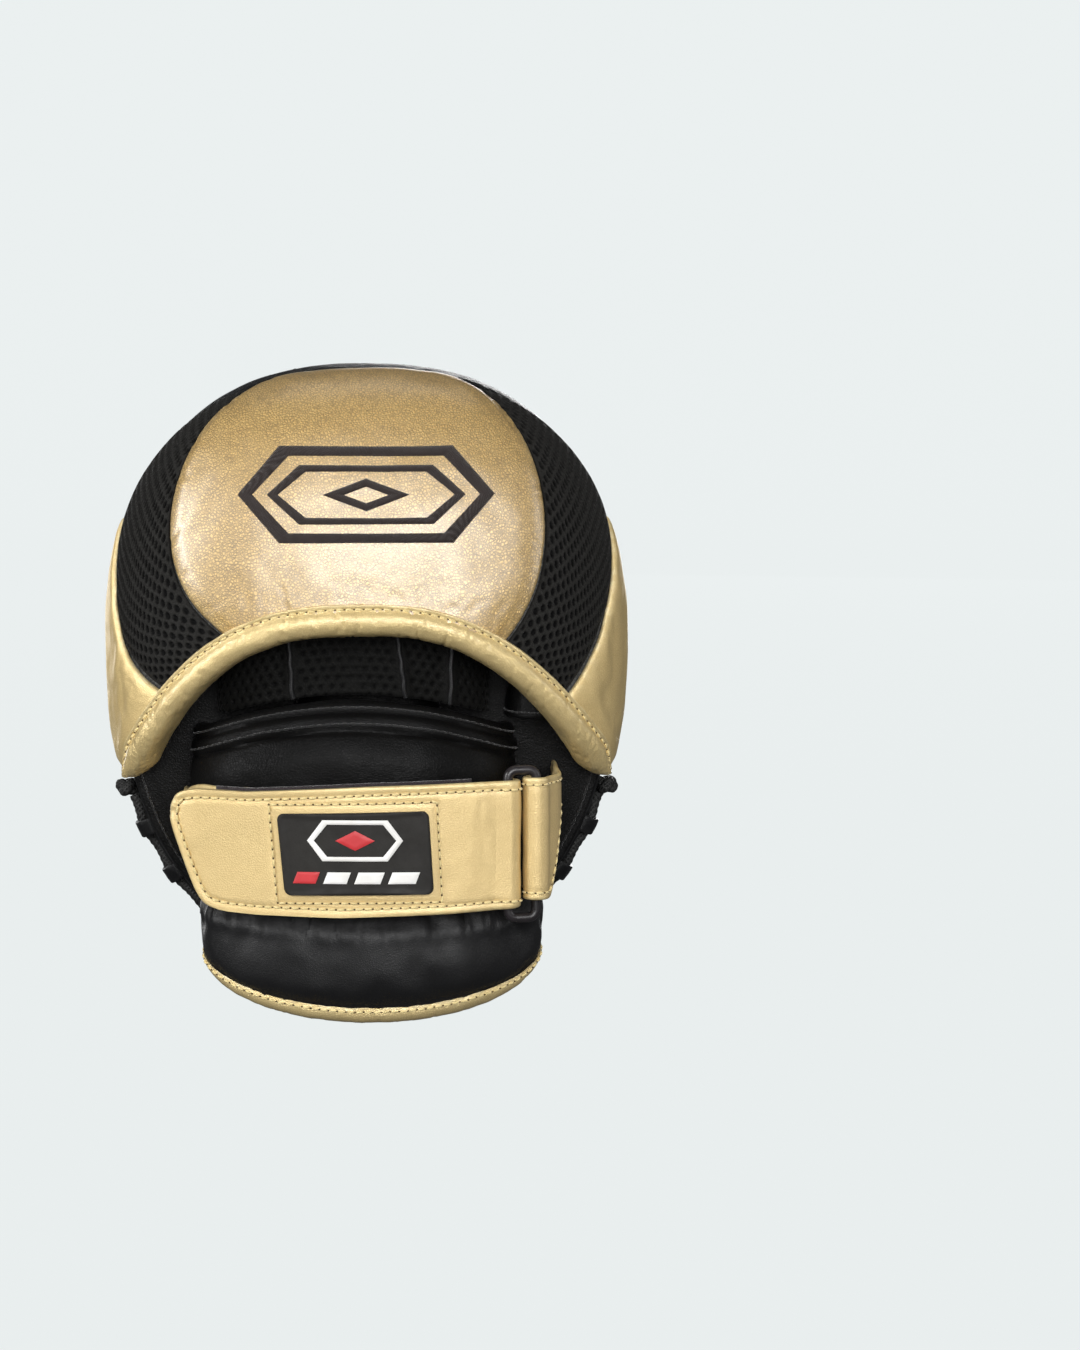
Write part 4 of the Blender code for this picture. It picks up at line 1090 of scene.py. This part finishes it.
def arch(centre_x, half_width, top_y, power=2.6, count=90):
    """X and Y over an arch that stands on the back of the pad, a row for each top."""
    angle = np.pi * soft_steps(count, 0.01)[None, :]
    c, s = np.cos(angle), np.sin(angle)
    x = centre_x - half_width * np.sign(c) * np.abs(c) ** (2 / power)
    return x, POCKET_BASE_Y - (POCKET_BASE_Y - top_y) * np.abs(s) ** (2 / power)


def back_pad_top(x):
    """Height of the pad's top edge, which is bowed."""
    return 17.5 - 12.0 * ((x - POCKET_X) / 59.0) ** 2


def make_back_pad():
    share = soft_steps(64, 0.03)[:, None]
    top_y = np.interp(share, (0.0, 0.25, 0.6, 1.0), (-17.0, -21.0, -27.0, -29.0))
    x, y = arch(POCKET_X, 59.0, top_y)
    top = back_pad_top(x)
    z = top * (1 - share) - 52.5 * share
    points = points_of(x, y, z)
    drop = top - z
    rows_at = (5.2, 12.0)
    sewn = border(points) < 1.0
    for row in rows_at:
        sewn |= np.abs(drop - row) < 0.7
    points = points + inflate("back_pad_cover", points, POCKET_INSIDE, sewn, (60, 64), 4.0, 0.03, 2.5)
    lift = 1.0 * np.sin(np.pi * np.clip(drop / 70, 0, 1)) ** 0.6 + 0.5 * clouds(points, 24.0, 20)
    for row in rows_at:
        lift -= 0.8 * ridge(drop, row, 0.8)
    lift += 0.7 * ridge(drop, 8.6, 2.6, 4)
    lift -= 0.3 * creases(points, (12.0, 30.0, 30.0), 21, 0.05) * smooth_step(14, 30, drop)
    lift -= 4.5 * smooth_step(20, 40, drop)
    pad, front, normals = skin("back_pad", points, 7.0, "shaded_pocket_leather", away=POCKET_INSIDE, roll=3.0,
                               lift=lift)
    place(pad, "mitt", ["back_of_hand_pad"])
    for k, row in enumerate(rows_at):
        edge_stitches(f"back_pad_stitches_{k}", front, normals, "first_row", row, "black_thread", "mitt",
                      3.0, 0.36, trim=6)


def make_sleeve():
    share = soft_steps(150, 0.01)[:, None]
    lift_share = np.sqrt(np.maximum(0.0, 1 - (share * 0.97) ** 4))
    top_y = POCKET_BASE_Y - (POCKET_BASE_Y + 11.0) * (0.93 * lift_share + 0.07) * (1 - 0.1 * share)
    x, y = arch(POCKET_X, 50.0 * (1 - 0.3 * share ** 2), top_y, count=220)
    z = (back_pad_top(x) + 0.6) * (1 - share) + 100.0 * share
    points = points_of(x, y, z)
    across, along = reach(points, 1), reach(points, 0)
    holes = pits(across, along, 3.9, 6.4, 1.0, 1.0)
    channels = np.zeros_like(x)
    seams = []
    for start, end in ((-31.0, -27.0), (3.0, 14.0), (33.0, 30.0)):
        centre = end + (start - end) * share
        channels = np.maximum(channels, ridge(x, centre, 2.6, 4))
        seams.append(centre)
    lift = -0.7 * holes * (1 - channels) + 0.9 * channels + 0.5 * clouds(points, 18.0, 22)
    sleeve, front, normals = skin("finger_mesh", points, 1.6, "shaded_sleeve_mesh", away=POCKET_INSIDE,
                                  roll=0.7, lift=lift, fields={"pit": holes * (1 - channels)})
    place(sleeve, "mitt", ["finger_sleeve"])
    for k, centre in enumerate(seams):
        rows, column = np.arange(1, len(x) - 10), np.argmin(np.abs(x - centre), axis=1)
        column = np.round(gaussian(column.astype(float), 3)).astype(int)
        path = front[rows, column[rows]] + normals[rows, column[rows]] * 0.2
        piping = tube(f"sleeve_piping_{k}", curve_through(path[::6], 90), 0.95, "cuff_black", 8)
        place(piping, "mitt")


def make_thumb_stall():
    share = soft_steps(50, 0.02)[:, None]
    top_y = POCKET_BASE_Y - 17.5 * (0.85 * np.sqrt(np.maximum(0, 1 - (share * 0.95) ** 3)) + 0.15)
    x, y = arch(61.0 + 3.0 * share, 10.5 - 2.0 * share, top_y, 2.2, 60)
    points = points_of(x, y, 8.0 + 50.0 * share)
    lift = 0.4 * clouds(points, 12.0, 23) - 0.3 * creases(points, (16.0, 16.0, 7.0), 24, 0.06)
    stall, front, normals = skin("thumb_leather", points, 1.6, "shaded_pocket_leather", away=(66, 30, 30),
                                 roll=0.8, lift=lift)
    place(stall, "mitt", ["thumb_stall"])
    edge_stitches("thumb_stall_stitches", front, normals, "first_row", 2.4, "black_thread", "mitt", 2.8,
                  0.32)


def make_palm_ball():
    turn = full_turn(120)[:, None]
    rise = np.linspace(0, 1, 34)[None, :]
    radius = 29.0 * np.cos(rise * np.pi / 2) ** 0.8 + 0.25
    y = POCKET_BASE_Y - 0.2 - 11.2 * np.sin(rise * np.pi / 2) ** 0.9
    points = points_of(radius * np.cos(turn), y + 0 * turn, radius * np.sin(turn))
    lift = -0.35 * np.abs(np.sin(8 * turn)) ** 6 * smooth_step(1, 6, border(points, True, True)) \
        + 0.2 * clouds(points, 10.0, 25)
    ball, front, normals = skin("palm_pad", points, 1.6, "shaded_pocket_leather", away=(0, 30, 0), wrap=True,
                                cap=True, roll=0.8, lift=lift)
    place(ball, "mitt", ["palm_ball"])
    edge_stitches("palm_ball_stitches", front, normals, "first_column", 3.0, "black_thread", "mitt", 3.0,
                  0.34, closed=True)


# ---- cuff -----------------------------------------------------------------------------------

def cuff_low(turn):
    """Height of the cuff's lower edge, which hangs lower at the front."""
    return -79.0 - 17.5 * np.cos(turn) - 1.5 * np.cos(2 * turn)


def cuff_point(turn, share):
    """The cuff's outer face; share is 0 at its top edge and 1 at its lower one."""
    bulge = 4.0 * np.maximum(0.0, np.sin(np.minimum(1.0, share * 1.15) * np.pi)) ** 0.8
    front = 0.5 * (1 + np.cos(turn))
    x = CUFF_X + (CUFF_HALF_WIDTH + 0.35 * bulge) * np.sin(turn)
    y = CUFF_Y - (CUFF_HALF_DEPTH + (bulge + 1.8 * share) * front) * np.cos(turn)
    return points_of(x, y, CUFF_TOP_Z + (cuff_low(turn) - CUFF_TOP_Z) * share)


def cuff_loop(outer, lift, depth):
    """Closed sections round the cuff: down the outer face, round the lower edge and up inside."""
    normals = grid_normals(outer, CUFF_INSIDE, wrap=True)
    outer = outer + normals * lift[..., None]
    inner = outer - normals * depth
    down = unit(np.gradient(outer, axis=1))
    arc = np.radians(np.linspace(0, 180, 9)[1:-1])[None, :, None]
    pieces = [outer]
    for k, sign in ((-1, 1), (0, -1)):
        middle = 0.5 * (outer[:, k] + inner[:, k])[:, None]
        half = 0.5 * depth
        bend = middle + half * (normals[:, k, None] * np.cos(arc) + sign * down[:, k, None] * np.sin(arc))
        pieces.append(bend if sign > 0 else bend[:, ::-1])
        if sign > 0:
            pieces.append(inner[:, ::-1])
    return np.concatenate(pieces, axis=1)


def make_cuff_pad(turns):
    shares = np.linspace(0.03, 0.93, 44)
    flat = cuff_point(turns[:, None], shares[None, :])
    sewn = np.zeros(flat.shape[:2], bool)
    sewn[:, :2] = sewn[:, -2:] = True
    puffed = inflate("cuff_cover", flat, CUFF_INSIDE, sewn, (150, 22), 6.0, 0.05, 3.0, True)
    front = smooth_step(-0.2, 0.5, np.cos(turns))[:, None]
    fold = np.abs(clouds(flat, (3.4, 18.0, 30.0), 30, 2))
    pucker = smooth_step(0.37, 0.25, shares)[None, :] * (0.35 + 0.65 * front)
    lift = 1.5 * (0.35 - fold) * pucker + 0.4 * clouds(flat, 30.0, 31)
    lift += 0.9 * ridge(shares, 0.27, 0.09)[None, :] * front
    loop = cuff_loop(flat + puffed, lift, CUFF_PAD - 0.4)
    index = grid_index(*loop.shape[:2], True, True)
    pad = make_mesh("cuff_cushion", loop.reshape(-1, 3), quads(index).tolist(), "cuff_black")
    place(pad, "cuff", ["cuff_pad"])


def make_cuff_edge(turns):
    cover = 1.0
    start, end = 0.89 - 0.1 * smooth_step(0.2, -0.8, np.cos(turns)), 0.93
    outer = np.stack([cuff_point(turns, start + (end - start) * t) for t in np.linspace(0, 1, 9)], 1)
    normals = grid_normals(outer, CUFF_INSIDE, wrap=True)
    down = unit(np.gradient(outer, axis=1))
    lifted = outer + normals * cover
    middle = (outer[:, -1] - normals[:, -1] * 0.5 * CUFF_PAD)[:, None]
    arc = np.radians(np.linspace(0, 180, 13)[1:])[None, :, None]
    bend = middle + (0.5 * CUFF_PAD + cover) * (normals[:, -1, None] * np.cos(arc)
                                                + down[:, -1, None] * np.sin(arc))
    up_inside = bend[:, -1:] - down[:, -1, None] * np.linspace(1, 6, 5)[None, :, None]
    points = np.concatenate([lifted, bend, up_inside], axis=1)
    points[:, 0] -= normals[:, 0] * 0.5
    lift = 0.2 * clouds(points, 6.0, 33) - 0.25 * creases(points, (3.0, 12.0, 20.0), 34, 0.05)
    edge, front, ups = skin("cuff_edge", points, 0.9, "binding_gold", away=(CUFF_X, CUFF_Y, -60),
                                 wrap=True, roll=0.5, lift=lift)
    place(edge, "cuff", ["cuff_binding"])
    edge_stitches("cuff_edge_stitches", front, ups, "first_column", 2.2, "gold_thread", "cuff", 3.2, 0.38,
                  closed=True)


def make_cuff():
    turns = full_turn(300)
    make_cuff_pad(turns)
    make_cuff_edge(turns)


# ---- strap ----------------------------------------------------------------------------------

def strap_y(x):
    """The strap's outer face bows back over the hand."""
    return -41.4 + 0.00262 * (x - 10.0) ** 2


def on_strap(x, z, lift):
    """A point over the strap's outer face, lift mm out from it."""
    slope = 0.00524 * (x - 10.0)
    size = np.sqrt(1 + slope ** 2)
    return points_of(x + lift * slope / size, strap_y(x) - lift / size, z)


def strap_top(x):
    """Height of the flap's upper edge."""
    return np.interp(x, (-72, -44, 0, 56), (-13.3, -14.2, -11.8, -10.2))


def strap_low(x):
    """Height of the flap's lower edge."""
    return np.interp(x, (-72, -40, -10, 30, 56), (-56.6, -58.8, -59.4, -58.2, -56.6))


FLAP_END = ((0.0, -50.0), (0.016, -55.5), (0.057, -59.3), (0.138, -61.9), (0.275, -64.6),
            (0.505, -68.4), (0.69, -71.1), (0.8, -71.5), (0.917, -69.8), (0.975, -66.2), (1.0, -60.0))


def flap_line(inset):
    """The stitch row round the flap, inset mm inside its edge, in X and Z."""
    ends = curve_through(FLAP_END, 200)
    end_x = ends[:, 1]
    end_z = strap_low(end_x) + (strap_top(end_x) - strap_low(end_x)) * ends[:, 0]
    low_x, top_x = np.linspace(46, -49.5, 60), np.linspace(-59.5, 46, 60)
    edge = np.vstack([np.stack([low_x, strap_low(low_x)], -1), np.stack([end_x, end_z], -1),
                      np.stack([top_x, strap_top(top_x)], -1)])
    edge = even_points(edge, 400)
    along = unit(np.gradient(edge, axis=0))
    return even_points(edge + np.stack([along[:, 1], -along[:, 0]], -1) * inset, 300)


def flap_lift(x):
    """The flap's free end stands a little off the strap below it."""
    return 1.1 * ridge(x, -64, 9)


# Upper left, lower left, lower right and upper right corner of the patch, in X and Z.
PATCH_CORNERS = ((-32.4, -21.6), (-29.6, -51.2), (23.6, -50.6), (21.8, -20.4))


def frame_line(inset, count):
    """The stitched frame round the patch: its corners lean with the patch."""
    corners = np.array(PATCH_CORNERS)
    middle = corners.mean(axis=0)
    grown = corners + np.sign(corners - middle) * inset
    return even_points(np.vstack([grown, grown[:1]]), count)


def flap_points():
    """The flap's outer face as a grid: round the ring's bar, then along the strap to its shaped end."""
    start_x, across = 46.0, soft_steps(52, 0.03)
    turn = np.radians(np.linspace(100, -80, 26))[:, None]
    fold_x = FOLD_BAR[0] + FOLD_RADIUS * np.cos(turn) + 0 * across[None]
    fold_y = FOLD_BAR[1] + FOLD_RADIUS * np.sin(turn) + 0 * across[None]
    ends = curve_through(FLAP_END, 200)
    end_x = np.interp(across, ends[:, 0], ends[:, 1])[None, :]
    x = start_x + (end_x - start_x) * soft_steps(120, 0.008)[:, None]
    flat_x = np.vstack([fold_x, x])
    shape_x = np.clip(flat_x, -72, 56)
    z = strap_low(shape_x) + (strap_top(shape_x) - strap_low(shape_x)) * across[None, :]
    return points_of(flat_x, np.vstack([fold_y, strap_y(x)]), z)


def groove(points, line, depth):
    """How deep a row of stitches draws the flap in, near a line in X and Z."""
    near = np.full(points.shape[:2], np.inf)
    for x, z in line:
        near = np.minimum(near, np.hypot(points[..., 0] - x, points[..., 2] - z))
    return depth * ridge(near, 0.0, 0.8) * (points[..., 1] < -20)


def make_flap():
    points, seam = flap_points(), flap_line(3.1)
    x = points[..., 0]
    lift = 0.3 * clouds(points, 26.0, 40)
    lift -= groove(points, frame_line(3.0, 220), 0.35) + groove(points, seam, 0.45)
    lift -= 0.35 * creases(points, (30.0, 30.0, 5.0), 41, 0.05) * smooth_step(-56, -70, x)
    lift += 0.22 * clouds(points, (4.0, 30.0, 16.0), 43) * smooth_step(24, 44, x)
    lift += flap_lift(x)
    flap, _, _ = skin("strap_flap_leather", points, STRAP_LEATHER, "strap_gold", away=STRAP_INSIDE,
                      roll=1.1, lift=lift)
    place(flap, "flap", ["strap_flap"])
    make_flap_stitches(seam)


def make_flap_stitches(seam):
    """A row round the flap, which runs on round the bar at both sides, and one round the patch."""
    stand = flap_lift(seam[:, 0])
    path = on_strap(seam[:, 0], seam[:, 1], stand - 0.3)
    ups = unit(path - on_strap(seam[:, 0], seam[:, 1], stand - 1.3))
    turn = np.radians(np.linspace(0, -80, 9))[:, None]
    out = np.hstack([np.cos(turn), np.sin(turn), 0 * turn])
    first, last = ((*FOLD_BAR, seam[k, 1]) + FOLD_RADIUS * out for k in (0, -1))
    stitches("flap_stitches", np.vstack([first, path, last[::-1]]), np.vstack([out, ups, out[::-1]]),
             "gold_thread", "flap", 3.3, 0.48)
    x, z = frame_line(3.0, 150).T
    path = on_strap(x, z, 0.0)
    stitches("patch_frame_stitches", path, unit(path - on_strap(x, z, -1.0)), "gold_thread", "flap", 3.2,
             0.4)


def patch_corner(t, radius, size):
    """How far a side draws in near its two ends, for a rounded corner."""
    near = np.minimum(t, 1 - t) * size
    return radius - np.sqrt(np.maximum(0.0, radius ** 2 - np.maximum(0.0, radius - near) ** 2))


def make_patch():
    v = soft_steps(30, 0.04)[:, None]
    t = soft_steps(60, 0.02)[None, :]
    draw = patch_corner(v, 2.4, 30.0)
    low_left, low_right = PATCH_CORNERS[1], PATCH_CORNERS[2]
    left = low_left[0] - 2.8 * v + draw
    right = low_right[0] - 1.8 * v - draw
    x = left + (right - left) * t
    share = (x + 31) / 54
    z = (low_left[1] + 0.6 * share) + (29.6 + 0.6 * share) * v
    points = on_strap(x, z, 1.5)
    lift = 0.35 * ridge(border(points), 1.2, 0.8, 4)
    patch, _, _ = skin("patch_rubber", points, 1.2, "rubber", away=STRAP_INSIDE, roll=0.5, lift=lift)
    place(patch, "flap", ["strap_patch"])


def patch_mark(name, outer, inner, look, cap=False):
    """A raised mark on the patch between two loops, or inside one."""
    grid = on_strap(*between(outer, inner, 5), 2.05)
    mark, _, _ = skin(name, grid, 0.7, look, away=STRAP_INSIDE, wrap=True, cap=cap, roll=0.35)
    place(mark, "flap")


def make_patch_marks():
    centre_x, centre_z, low, high, lean = -4.4, -31.0, -46.6, -42.4, 1.6
    patch_mark("patch_motif_frame", dense(hexagon(17.0, 7.4, centre_z, centre_x), 10),
               dense(hexagon(14.6, 5.8, centre_z, centre_x), 10), "rubber_white")
    diamond = np.array([(7.0, 0.0), (0.0, 3.6), (-7.0, 0.0), (0.0, -3.6)])
    patch_mark("patch_motif_core", dense(diamond + (centre_x, centre_z), 8),
               dense(diamond * 0.04 + (centre_x, centre_z), 8), "rubber_red", cap=True)
    for k, (start, end) in enumerate(((-26.5, -18.5), (-15.8, -7.5), (-4.8, 4.5), (7.2, 17.0)), 1):
        bar = np.array([(start, low), (end, low), (end + lean, high), (start + lean, high)])
        middle = bar.mean(axis=0)
        patch_mark(f"patch_bar_{k}", dense(bar, 6), dense(middle + (bar - middle) * 0.04, 6),
                   "rubber_red" if k == 1 else "rubber_white", cap=True)


def tape_strip(name, node, first, last, offset, low, high, body):
    """A straight strip of tape that lies offset mm behind the strap's face."""
    x = np.linspace(first, last, 90)[:, None]
    z = low + (strap_top(x) + high - low) * soft_steps(26, 0.03)[None, :]
    points = on_strap(x + 0 * z, z + 0 * x, -offset)
    ragged = 0.25 * clouds(points, 1.6, 45)
    strip, _, _ = skin(name, points, 1.1, "tape", away=STRAP_INSIDE, roll=0.5, lift=ragged)
    place(strip, body, [node])


def path_strip(name, node, line, count, low, high, thick, seed):
    """A strip of leather along a line in X and Y, between two heights that depend on the share."""
    path = even_points(line, count)
    share = np.linspace(0, 1, count)[:, None]
    across = soft_steps(30, 0.03)[None, :]
    z = low(share) + (high(share) - low(share)) * across
    points = points_of(path[:, :1] + 0 * z, path[:, 1:] + 0 * z, z)
    seam = 3.0
    lift = 0.25 * clouds(points, 16.0, seed)
    lift -= 0.4 * ridge(border(points, wrap=True), seam, 0.8)
    strip, front, normals = skin(name, points, thick, "strap_gold", away=STRAP_INSIDE, roll=0.9,
                                 lift=lift)
    place(strip, "mitt", [node])
    for side in ("first_column", "last_column"):
        edge_stitches(f"{name}_{side}", front, normals, side, seam, "gold_thread", "mitt", 3.4, 0.4,
                      trim=2)


def make_straps():
    tape_strip("hook_strip", "hook_tape", 20, -60, 2.7, -54.3, -3.0, "flap")
    tape_strip("loop_strip", "loop_tape", 38, -56, 4.1, -55.3, 0.9, "mitt")
    x = np.linspace(43, -56, 60)
    straight = on_strap(x, 0 * x, -5.5)[:, :2]
    anchor = curve_through([straight[-1], (-63.0, -13.0), (-66.5, -1.0), (-68.0, 15.0)], 30)
    base = np.vstack([straight, anchor[1:]])
    path_strip("strap_base_leather", "strap_base", base, 130,
               lambda s: -55.8 + 16.0 * smooth_step(0.66, 0.82, s),
               lambda s: -13.5 - 5.0 * smooth_step(0.74, 0.95, s), 2.0, 46)
    turn = np.radians(np.linspace(115, 355, 40))
    roll = np.stack([TAB_BAR[0] + 4.9 * np.cos(turn), TAB_BAR[1] + 4.9 * np.sin(turn)], axis=-1)
    tail = curve_through([roll[-1], (70.2, -22.0), (70.0, -5.0), (70.0, 15.2)], 30)
    path_strip("ring_tab_leather", "ring_tab", np.vstack([roll, tail[1:]]), 110,
               lambda s: -54.0 + 30 * smooth_step(0.3, 0.5, s), lambda s: -9.5 + 0 * s, 1.8, 47)


def make_ring():
    """The rod of the ring: a loop with round corners, from the flap's bar to the tab's bar."""
    corner = 3.0
    loop = []
    for side, top, start in ((1, 1, 0), (0, 1, 90), (0, 0, 180), (1, 0, 270)):
        centre_z = RING_HIGH_Z - corner if top else RING_LOW_Z + corner
        centre_x = TAB_BAR[0] - corner if side else FOLD_BAR[0] + corner
        for angle in np.radians(start + np.linspace(0, 90, 8)):
            x = centre_x + corner * math.cos(angle)
            share = (x - FOLD_BAR[0]) / (TAB_BAR[0] - FOLD_BAR[0])
            loop.append((x, FOLD_BAR[1] + (TAB_BAR[1] - FOLD_BAR[1]) * share,
                         centre_z + corner * math.sin(angle)))
    rod = tube("strap_ring_rod", np.array(loop), BAR_RADIUS, "plastic", 16, closed=True)
    place(rod, "ring", ["strap_ring"])


# ---- stage ----------------------------------------------------------------------------------

def make_stage():
    """A round studio: a floor that curves up into a pale wall far behind every view."""
    floor_z, flat, bend, height = -101.5, 2600.0, 1400.0, 4200.0
    radius = [0.0, 300.0, 900.0, 1600.0, flat]
    level = [0.0] * len(radius)
    for angle in np.radians(np.linspace(10, 90, 12)):
        radius.append(flat + bend * math.sin(angle))
        level.append(bend * (1 - math.cos(angle)))
    radius.append(flat + bend)
    level.append(height)
    turn = full_turn(96)
    rings = [points_of(r * np.cos(turn), r * np.sin(turn), floor_z + h)
             for r, h in zip(radius[1:], level[1:])]
    grid = np.stack(rings, axis=1)
    rows, columns = grid.shape[:2]
    index = grid_index(rows, columns, wrap_rows=True)
    faces = quads(index)[:, ::-1].tolist() + [index[:rows, 0].tolist()]
    data = bpy.data.meshes.new("studio")
    data.from_pydata((grid.reshape(-1, 3) * MM).tolist(), [], faces)
    data.shade_smooth()
    look = Look("studio_paper", Specular_IOR_Level=0.0, Roughness=0.9, Emission_Strength=0.98)
    fibre = look.noise(120.0, 3.0)
    far = look.add("VectorMath", {0: look.where}, output=1, operation="LENGTH")
    glow = look.mix(look.range(far, 0.5, 3.6, 0.0, 1.0), srgb(235, 240, 240), srgb(237, 242, 242))
    look.set(Base_Color=look.mix(fibre, srgb(5, 5, 5), srgb(8, 8, 8)), Emission_Color=glow)
    data.materials.append(look.material)
    studio = bpy.data.objects.new("studio", data)
    bpy.context.scene.collection.objects.link(studio)
    studio.visible_glossy = False
    studio.visible_diffuse = False


def make_light(name, place_at, aim, size, power):
    data = bpy.data.lights.new(name, "AREA")
    data.shape = "RECTANGLE"
    data.size, data.size_y = size
    data.energy = power
    lamp = bpy.data.objects.new(name, data)
    lamp.location = place_at
    lamp.rotation_mode = "QUATERNION"
    lamp.rotation_quaternion = (Vector(aim) - Vector(place_at)).to_track_quat("-Z", "Y")
    lamp.visible_camera = False
    bpy.context.scene.collection.objects.link(lamp)


def make_lights():
    middle = (0.0, 0.0, 0.03)
    make_light("key", (0.15, -1.9, 0.55), middle, (1.6, 1.0), 36.0)
    make_light("left", (-1.7, -0.8, 0.5), middle, (0.6, 1.0), 23.0)
    make_light("right", (1.7, -0.4, 0.4), middle, (0.5, 1.0), 5.0)
    make_light("top", (0.0, 0.3, 1.9), middle, (1.2, 0.7), 2.6)
    make_light("rear_key", (0.4, 1.9, 0.25), middle, (0.8, 0.8), 19.0)
    make_light("rear_low", (-1.0, 1.7, 0.2), middle, (0.7, 0.9), 7.0)
    world = bpy.data.worlds.new("studio_air")
    world.use_nodes = True
    air = world.node_tree.nodes["Background"]
    air.inputs["Color"].default_value = (0.95, 0.97, 1.0, 1.0)
    air.inputs["Strength"].default_value = 0.1
    bpy.context.scene.world = world


def make_camera():
    """The photograph's view: a little above the mitt, from 1.5 m, with the mitt left of the middle."""
    distance, rise = 1.5, math.radians(7.0)
    turned, pitch = math.radians(2.44), math.radians(6.09)
    data = bpy.data.cameras.new("camera")
    data.sensor_fit = "VERTICAL"
    data.sensor_height = 36.0
    data.lens = 108.9
    data.clip_start, data.clip_end = 0.05, 30.0
    camera = bpy.data.objects.new("camera", data)
    camera.location = (0.0, -distance * math.cos(rise), distance * math.sin(rise))
    camera.rotation_euler = (math.pi / 2 - pitch, 0.0, -turned)
    bpy.context.scene.collection.objects.link(camera)
    bpy.context.scene.camera = camera


def dress_inner_nodes():
    """Better finishes for the CAD pieces that stay: the foam blocks and the board."""
    for name, look in (("impact_foam", "foam"), ("core_foam", "foam"), ("backing_board", "board")):
        node = bpy.data.objects[name]
        node.data.materials.clear()
        node.data.materials.append(LOOKS[look])


make_looks()
make_camera()
make_strike_face()
make_prints()
make_walls()
make_lace()
make_rear_panel()
make_hood_panels()
make_hood_inside()
make_rim()
make_emblem()
make_back_pad()
make_sleeve()
make_thumb_stall()
make_palm_ball()
make_cuff()
make_flap()
make_patch()
make_patch_marks()
make_straps()
make_ring()
dress_inner_nodes()
make_stage()
make_lights()
bpy.context.scene.view_settings.view_transform = "Standard"
